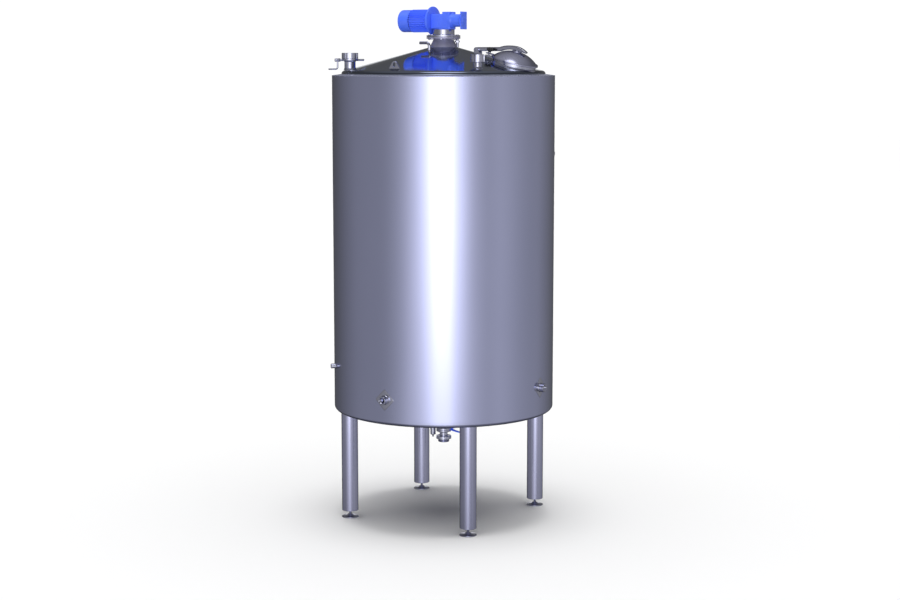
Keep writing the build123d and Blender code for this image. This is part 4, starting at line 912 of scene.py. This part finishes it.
def rosette(size, hole, inner, thickness):
    # square plate turned on its corner and wrapped on the cylinder: the share t goes from the round
    # hole to the square's edge, the arc along the cylinder is u / radius, and the middle is dished out
    angle = np.linspace(0, 2 * np.pi, 192, endpoint=False)
    square = size / 2 / np.maximum(np.abs(np.cos(angle - np.pi / 4)), np.abs(np.sin(angle - np.pi / 4)))
    square *= 1 - 0.035 * (square / square.max()) ** 12
    share = np.linspace(0, 1, 14)[:, None]
    reach = hole + (square - hole) * share
    u, v = reach * np.cos(angle), reach * np.sin(angle)
    lift = thickness * (1 - 0.5 * share ** 6) + np.zeros_like(u)
    lift[-1] = 0.35

    def wrap(u, v, out):
        turnBy = u / inner
        return np.stack([(inner + out) * np.cos(turnBy), (inner + out) * np.sin(turnBy), v + 0 * out], -1)
    outside = wrap(u, v, lift)
    inside = wrap(u, v, np.zeros_like(u))[::-1]
    grid = np.concatenate([outside, inside])
    return grid.reshape(-1, 3), gridFaces(len(grid), 192, True, True)


def makeSockets():
    # turned sleeves laid along a radius of the tank, threaded inside by a zigzag of the bore
    k = sockets
    lo, hi = edges("sensor_sleeves")
    levels = ((-90.0, lo[2] + k["sleeve"]), (0.0, hi[2] - k["sleeve"]))
    sleeve = bevelled([(k["bore"], 694), (k["sleeve"], 694), (k["sleeve"], 803), (k["bore"], 803)],
                      [0, 0, 2, 2], 72, 6)
    thread = turned([(k["bore"] + 0.1, 770), (k["bore"], 770)] + [(k["bore"] - 0.9 * (n % 2), 771 + n)
            for n in range(28)] + [(k["bore"] + 0.1, 799)], 48)
    bead = bevelled([(28.5, 766), (34, 766), (31, 769), (29, 771)], [0, 0.8, 1.5, 0], 72, 4)
    sleeves, plates = [], []
    for angle, level in levels:
        place = at(0, 0, level) @ turn(angle, "Z")
        sleeves += [moved(part, place @ lying) for part in (sleeve, thread, bead)]
        plates.append(moved(rosette(k["side"], 29.1, 765.12, k["sheet"]), place))
    piece("sensorSleeves", merge(*sleeves), "sensor_sleeves")
    piece("rosettePlates", merge(*plates), "rosettes", slot="fitting_steel")
    lo, hi = edges("jacket_sockets")
    socket = bevelled([(11, 704), (16.5, 704), (16.5, 802), (11, 802)], [0, 0, 1.5, 1.5], 56)
    bead = bevelled([(16, 764.6), (21.5, 764.6), (18, 768), (16, 770)], [0, 0.8, 1.5, 0], 56, 4)
    spots = [at(0, 0, level) @ turn(angle, "Z") @ lying for angle, level in ((225, lo[2] + 16.5),
            (45, hi[2] - 16.5))]
    piece("jacketSockets", merge(*[moved(part, spot) for spot in spots for part in (socket, bead)]),
          "jacket_sockets")
    print("sockets")


# outlet under the tank: radii of its pipe, valve, nut and thread, and the handle's reach
outlet = {"pipe": 26.5, "bore": 25.0, "mouth": 23.0, "valve": 52.0, "nut": 53.5, "male": 39.0,
          "handle": 158.0}


def makeOutlet():
    # turned pipe, valve, thread end and sampling cock; the disc and its stem turn across the pipe
    o = outlet
    pipe, bore, valve, male = o["pipe"], o["bore"], o["valve"], o["male"]
    low, top = edges("outlet_valve_body")[0][2], edges("outlet_valve_body")[1][2]
    pipeLo, pipeHi = edges("outlet_pipe")[0][2], edges("outlet_pipe")[1][2]
    piece("outletPipe", bevelled([(bore, pipeLo), (pipe, pipeLo), (pipe, pipeHi), (bore, pipeHi)], 0.4, 72,
                                 3), "outlet_pipe")
    stem = (low + top) / 2
    outline = [(bore, low), (40, low), (valve, low + 6), (valve, stem - 2.5), (valve - 2, stem - 1),
               (valve - 2, stem + 1), (valve, stem + 2.5), (valve, top - 6), (40, top), (bore, top)]
    shape = bevelled(outline, [0, 3, 3, 1, 0.6, 0.6, 1, 3, 3, 0], 112)
    boss = moved(bevelled([(6.2, 46), (11, 46), (11, 56), (6.2, 56)], [0, 0, 1, 0], 40, 4),
                 at(z=stem) @ turn(-90, "X"))
    screws = [moved(hexHead(10, 0, 4), turn(30 + 60 * k, "Z") @ at(45.5, 0, top - 4.2)) for k in range(6)]
    screws += [moved(hexHead(10, -4, 0), turn(30 + 60 * k, "Z") @ at(45.5, 0, low + 4.2)) for k in range(6)]
    piece("outletValve", merge(shape, boss, *screws), "outlet_valve_body", sharp=30)
    bottom = edges("outlet_adapter")[0][2]
    groove = [(male - 1.8 * (n % 2), bottom + 1.5 + 1.6 * n) for n in range(12)]
    outline = np.concatenate([[(o["mouth"], low), (o["mouth"], bottom)], [(male - 2.5, bottom)], groove,
                              [(male, bottom + 20.9), (28, bottom + 21), (28, low)]])
    piece("outletAdapter", turned(outline, 112), "outlet_adapter")
    across = at(z=stem) @ turn(-90, "X")
    disc = bevelled([(0, stem - 2.5), (24.7, stem - 1.5), (24.7, stem + 1.5), (0, stem + 2.5)], [0, 1, 1, 0],
                    64, closed=False)
    spindle = moved(bevelled([(0, -45), (6, -45), (6, 70.2), (0, 70.2)], [0, 1, 1, 0], 32, 4, closed=False),
                    across)
    piece("outletDisc", merge(disc, spindle), "outlet_valve_disc")
    makeHandle(across)
    lo, hi = edges("sample_cock")
    level = top + 44
    body = bevelled([(0, lo[2] + 0.2), (6, lo[2] + 0.2), (6, lo[2] + 14), (17, lo[2] + 17), (19, lo[2] + 21),
                     (19, level - 42), (15, level - 35), (8, level - 33), (8, level + 8), (0, level + 8)],
                    [0, 1, 2, 2, 2, 4, 3, 2, 2, 0], 56, closed=False)
    branch = moved(bevelled([(6, 26.6), (8, 26.6), (8, 88), (6, 88)], 0, 36, 2), at(z=level) @ turn(-90, "Y"))
    ribs = [bevelled([(18.5, z), (19, z), (19.0, z + 1.5), (18.5, z + 3)], 0.2, 56, 3)
            for z in (level - 95, level - 70)]
    piece("sampleCock", merge(moved(body, at(-88.0)), branch, *[moved(rib, at(-88.0)) for rib in ribs]),
          "sample_cock")
    print("outlet")
    return unionNut(o["nut"], 28.1, bottom + 21.1, bottom + 43.0)


def makeHandle(across):
    # two flat bars: a rounded outline between two levels, drawn in a little at both faces
    reach = outlet["handle"]
    low, high = 56.4, 66.2
    grip = softLine([(-6, -12), (70, -20), (reach, -33), (reach, -19), (70, -6), (6, 14)],
                    [4, 20, 6, 6, 20, 4], 6, True)
    latch = softLine([(0, -6), (60, 14), (reach - 22, 26), (reach - 22, 34), (56, 24), (-4, 12)],
                     [2, 20, 3.5, 3.5, 20, 4], 6, True)
    parts = []
    for outline in (grip, latch):
        centre = outline.mean(0)
        small = centre + (outline - centre) * 0.985
        rows = [(small, low), (outline, low + 1.4), (outline, high - 1.4), (small, high)]
        grid = np.stack([np.column_stack([points, np.full(len(points), z)]) for points, z in rows])
        count = len(outline)
        loop = np.arange(count)[None]
        parts.append((grid.reshape(-1, 3), [gridFaces(4, count, False, True), loop[:, ::-1],
                loop + 3 * count]))
    hub = bevelled([(6.1, low), (17, low), (17, high), (6.1, high)], [0, 1.5, 1.5, 0], 48)
    piece("outletHandle", moved(merge(*parts, hub), across), "outlet_handle", sharp=30)


def makeNuts():
    nuts = [makeInlet(), makeCleaning(), makeOutlet()]
    piece("unionNuts", merge(*nuts), "union_nuts", sharp=28)
    print("nuts")


# each lamp: strength, width of the sun in degrees, azimuth and elevation it shines from, casts a shadow
studio = {"floorSize": 120.0, "floorGrey": 0.9,
          "lamps": {"highSun": (0.95, 20.0, 0.0, 90.0, True), "wideSun": (2.15, 90.0, 0.0, 90.0, True),
                    "sideSun": (1.6, 20.0, 22.0, -1.0, False)}}


sky = {"facing": 30.97,
       # degrees round from the viewer, brightness that the steel sees there
       "walls": [(-180, 0.10), (-160, 0.09), (-142, 0.13), (-126, 0.19), (-114, 0.24), (-102, 0.29),
                 (-85, 0.31), (-68, 0.32), (-60, 0.35), (-52, 0.42), (-44, 0.50), (-36, 0.62),
                 (36, 0.54), (46, 0.49), (60, 0.54), (72, 0.49), (84, 0.42), (100, 0.36), (114, 0.34),
                 (126, 0.27), (142, 0.19), (160, 0.11), (180, 0.10)],
       "panel": [(-50, 0.0), (-38, 0.06), (-30, 0.32), (-22, 0.75), (-15, 1.35), (-8, 2.3), (6, 2.3),
                 (12, 1.2), (19, 0.75), (26, 0.30), (34, 0.06), (44, 0.0)],
       # sine of the elevation, brightness above the walls
       "above": [(0.0, 0.16), (0.30, 0.10), (0.52, 0.13), (0.70, 0.24), (0.85, 0.33), (1.0, 0.42)],
       "overhead": 1.9, "rear": 0.9, "side": 0.36, "top": 0.12}


def rampOf(nodes, links, source, stops, low, high):
    # brightness curve: (position, value) pairs spread over a range of the incoming number
    spread = nodes.new("ShaderNodeMapRange")
    spread.inputs["From Min"].default_value = low
    spread.inputs["From Max"].default_value = high
    links.new(source, spread.inputs["Value"])
    curve = nodes.new("ShaderNodeValToRGB")
    elements = curve.color_ramp.elements
    elements.remove(elements[-1])
    for number, (position, value) in enumerate(stops):
        share = (position - low) / (high - low)
        stop = elements[0] if number == 0 else elements.new(share)
        stop.position = share
        stop.color = (value, value, value, 1.0)
    links.new(spread.outputs["Result"], curve.inputs["Fac"])
    return curve.outputs["Color"]


def combine(nodes, links, operation, first, second):
    node = nodes.new("ShaderNodeMath")
    node.operation = operation
    for socket, value in zip(node.inputs, (first, second)):
        if isinstance(value, (int, float)):
            socket.default_value = value
        else:
            links.new(value, socket)
    return node.outputs[0]


def clampedStep(nodes, links, source, start, end, low, high):
    step = nodes.new("ShaderNodeMapRange")
    step.interpolation_type = "SMOOTHSTEP"
    for name, value in (("From Min", start), ("From Max", end), ("To Min", low), ("To Max", high)):
        step.inputs[name].default_value = value
    links.new(source, step.inputs["Value"])
    return step.outputs["Result"]


def makeWorld():
    # white behind the object; the steel reflects a studio whose brightness follows the compass
    # direction from the viewer: dim walls, a bright panel at the viewer's side, darker above, a
    # lamp overhead; matt surfaces get soft light from the horizon
    world = bpy.data.worlds.new("studio")
    world.use_nodes = True
    bpy.context.scene.world = world
    nodes, links = world.node_tree.nodes, world.node_tree.links
    nodes.clear()
    out = nodes.new("ShaderNodeOutputWorld")
    place = nodes.new("ShaderNodeTexCoord")
    split = nodes.new("ShaderNodeSeparateXYZ")
    links.new(place.outputs["Generated"], split.inputs[0])

    def along(direction):
        dot = nodes.new("ShaderNodeVectorMath")
        dot.operation = "DOT_PRODUCT"
        dot.inputs[1].default_value = direction
        links.new(place.outputs["Generated"], dot.inputs[0])
        return dot.outputs["Value"]
    azimuth = np.radians(sky["facing"])
    east, north = np.sin(azimuth), -np.cos(azimuth)
    angle = combine(nodes, links, "ARCTAN2", along((-north, east, 0.0)), along((east, north, 0.0)))
    degrees = combine(nodes, links, "MULTIPLY", angle, 180 / np.pi)
    walls = rampOf(nodes, links, degrees, sky["walls"], -180, 180)
    panel = rampOf(nodes, links, degrees, sky["panel"], -180, 180)
    height = split.outputs["Z"]
    panel = combine(nodes, links, "MULTIPLY", panel, clampedStep(nodes, links, height, -0.22, -0.115, 0.24,
            1.0))
    panel = combine(nodes, links, "MULTIPLY", panel, clampedStep(nodes, links, height, 0.25, 0.40, 1.0, 0.0))
    above = rampOf(nodes, links, height, sky["above"], 0, 1)
    lift = clampedStep(nodes, links, height, 0.06, 0.26, 0.0, 1.0)
    mix = nodes.new("ShaderNodeMix")
    mix.data_type = "RGBA"
    links.new(lift, mix.inputs[0])
    links.new(walls, mix.inputs[6])
    links.new(above, mix.inputs[7])
    spot = np.radians(73)
    over = along((east * np.cos(spot), north * np.cos(spot), np.sin(spot)))
    lamp = combine(nodes, links, "MULTIPLY", clampedStep(nodes, links, over, 0.945, 0.975, 0.0, 1.0),
                   sky["overhead"])
    back = along((-east, -north, 0.0))
    rear = combine(nodes, links, "MULTIPLY", clampedStep(nodes, links, back, 0.975, 0.995, 0.0, 1.0),
                   sky["rear"])
    total = combine(nodes, links, "ADD", combine(nodes, links, "ADD", mix.outputs[2], panel),
                    combine(nodes, links, "ADD", lamp, rear))
    total = combine(nodes, links, "MULTIPLY", total, clampedStep(nodes, links, height, -0.62, -0.25, 0.35,
            1.0))
    reflected = nodes.new("ShaderNodeBackground")
    links.new(total, reflected.inputs["Color"])
    fill = nodes.new("ShaderNodeBackground")
    links.new(clampedStep(nodes, links, height, 0.20, 0.34, sky["side"], sky["top"]), fill.inputs["Color"])
    white = nodes.new("ShaderNodeBackground")
    white.inputs["Color"].default_value = (1.0, 1.0, 1.0, 1.0)
    white.inputs["Strength"].default_value = 1.05
    path = nodes.new("ShaderNodeLightPath")
    glossy = nodes.new("ShaderNodeMixShader")
    links.new(path.outputs["Is Glossy Ray"], glossy.inputs[0])
    links.new(fill.outputs[0], glossy.inputs[1])
    links.new(reflected.outputs[0], glossy.inputs[2])
    seen = nodes.new("ShaderNodeMixShader")
    links.new(path.outputs["Is Camera Ray"], seen.inputs[0])
    links.new(glossy.outputs[0], seen.inputs[1])
    links.new(white.outputs[0], seen.inputs[2])
    links.new(seen.outputs[0], out.inputs["Surface"])


def makeStudio():
    makeWorld()
    half = studio["floorSize"] / 2
    mesh = bpy.data.meshes.new("floor")
    mesh.from_pydata([(-half, -half, 0), (half, -half, 0), (half, half, 0), (-half, half, 0)], [],
                     [(0, 1, 2, 3)])
    floor = bpy.data.objects.new("floor", mesh)
    bpy.context.collection.objects.link(floor)
    material = bpy.data.materials.new("paleFloor")
    material.use_nodes = True
    shader = material.node_tree.nodes["Principled BSDF"]
    grey = studio["floorGrey"]
    shader.inputs["Base Color"].default_value = (grey, grey, grey, 1.0)
    shader.inputs["Roughness"].default_value = 1.0
    shader.inputs["Specular IOR Level"].default_value = 0.0
    mesh.materials.append(material)
    floor.visible_glossy = False
    for name, (strength, width, azimuth, elevation, shadow) in studio["lamps"].items():
        lamp = bpy.data.lights.new(name, "SUN")
        lamp.energy = strength
        lamp.angle = np.radians(width)
        lamp.use_shadow = shadow
        light = bpy.data.objects.new(name, lamp)
        light.rotation_euler = (np.radians(90.0 - elevation), 0.0, np.radians(azimuth))
        light.visible_glossy = False
        bpy.context.collection.objects.link(light)
    bpy.context.scene.view_settings.view_transform = "Standard"
    print("studio ready")


setCamera()
dressNodes()
makeCladding()
makeRoof()
makeLegs()
makeNeck()
makeGear()
makeMotor()
makeManway()
makeNuts()
makeSmallFittings()
makeSockets()
makeStudio()
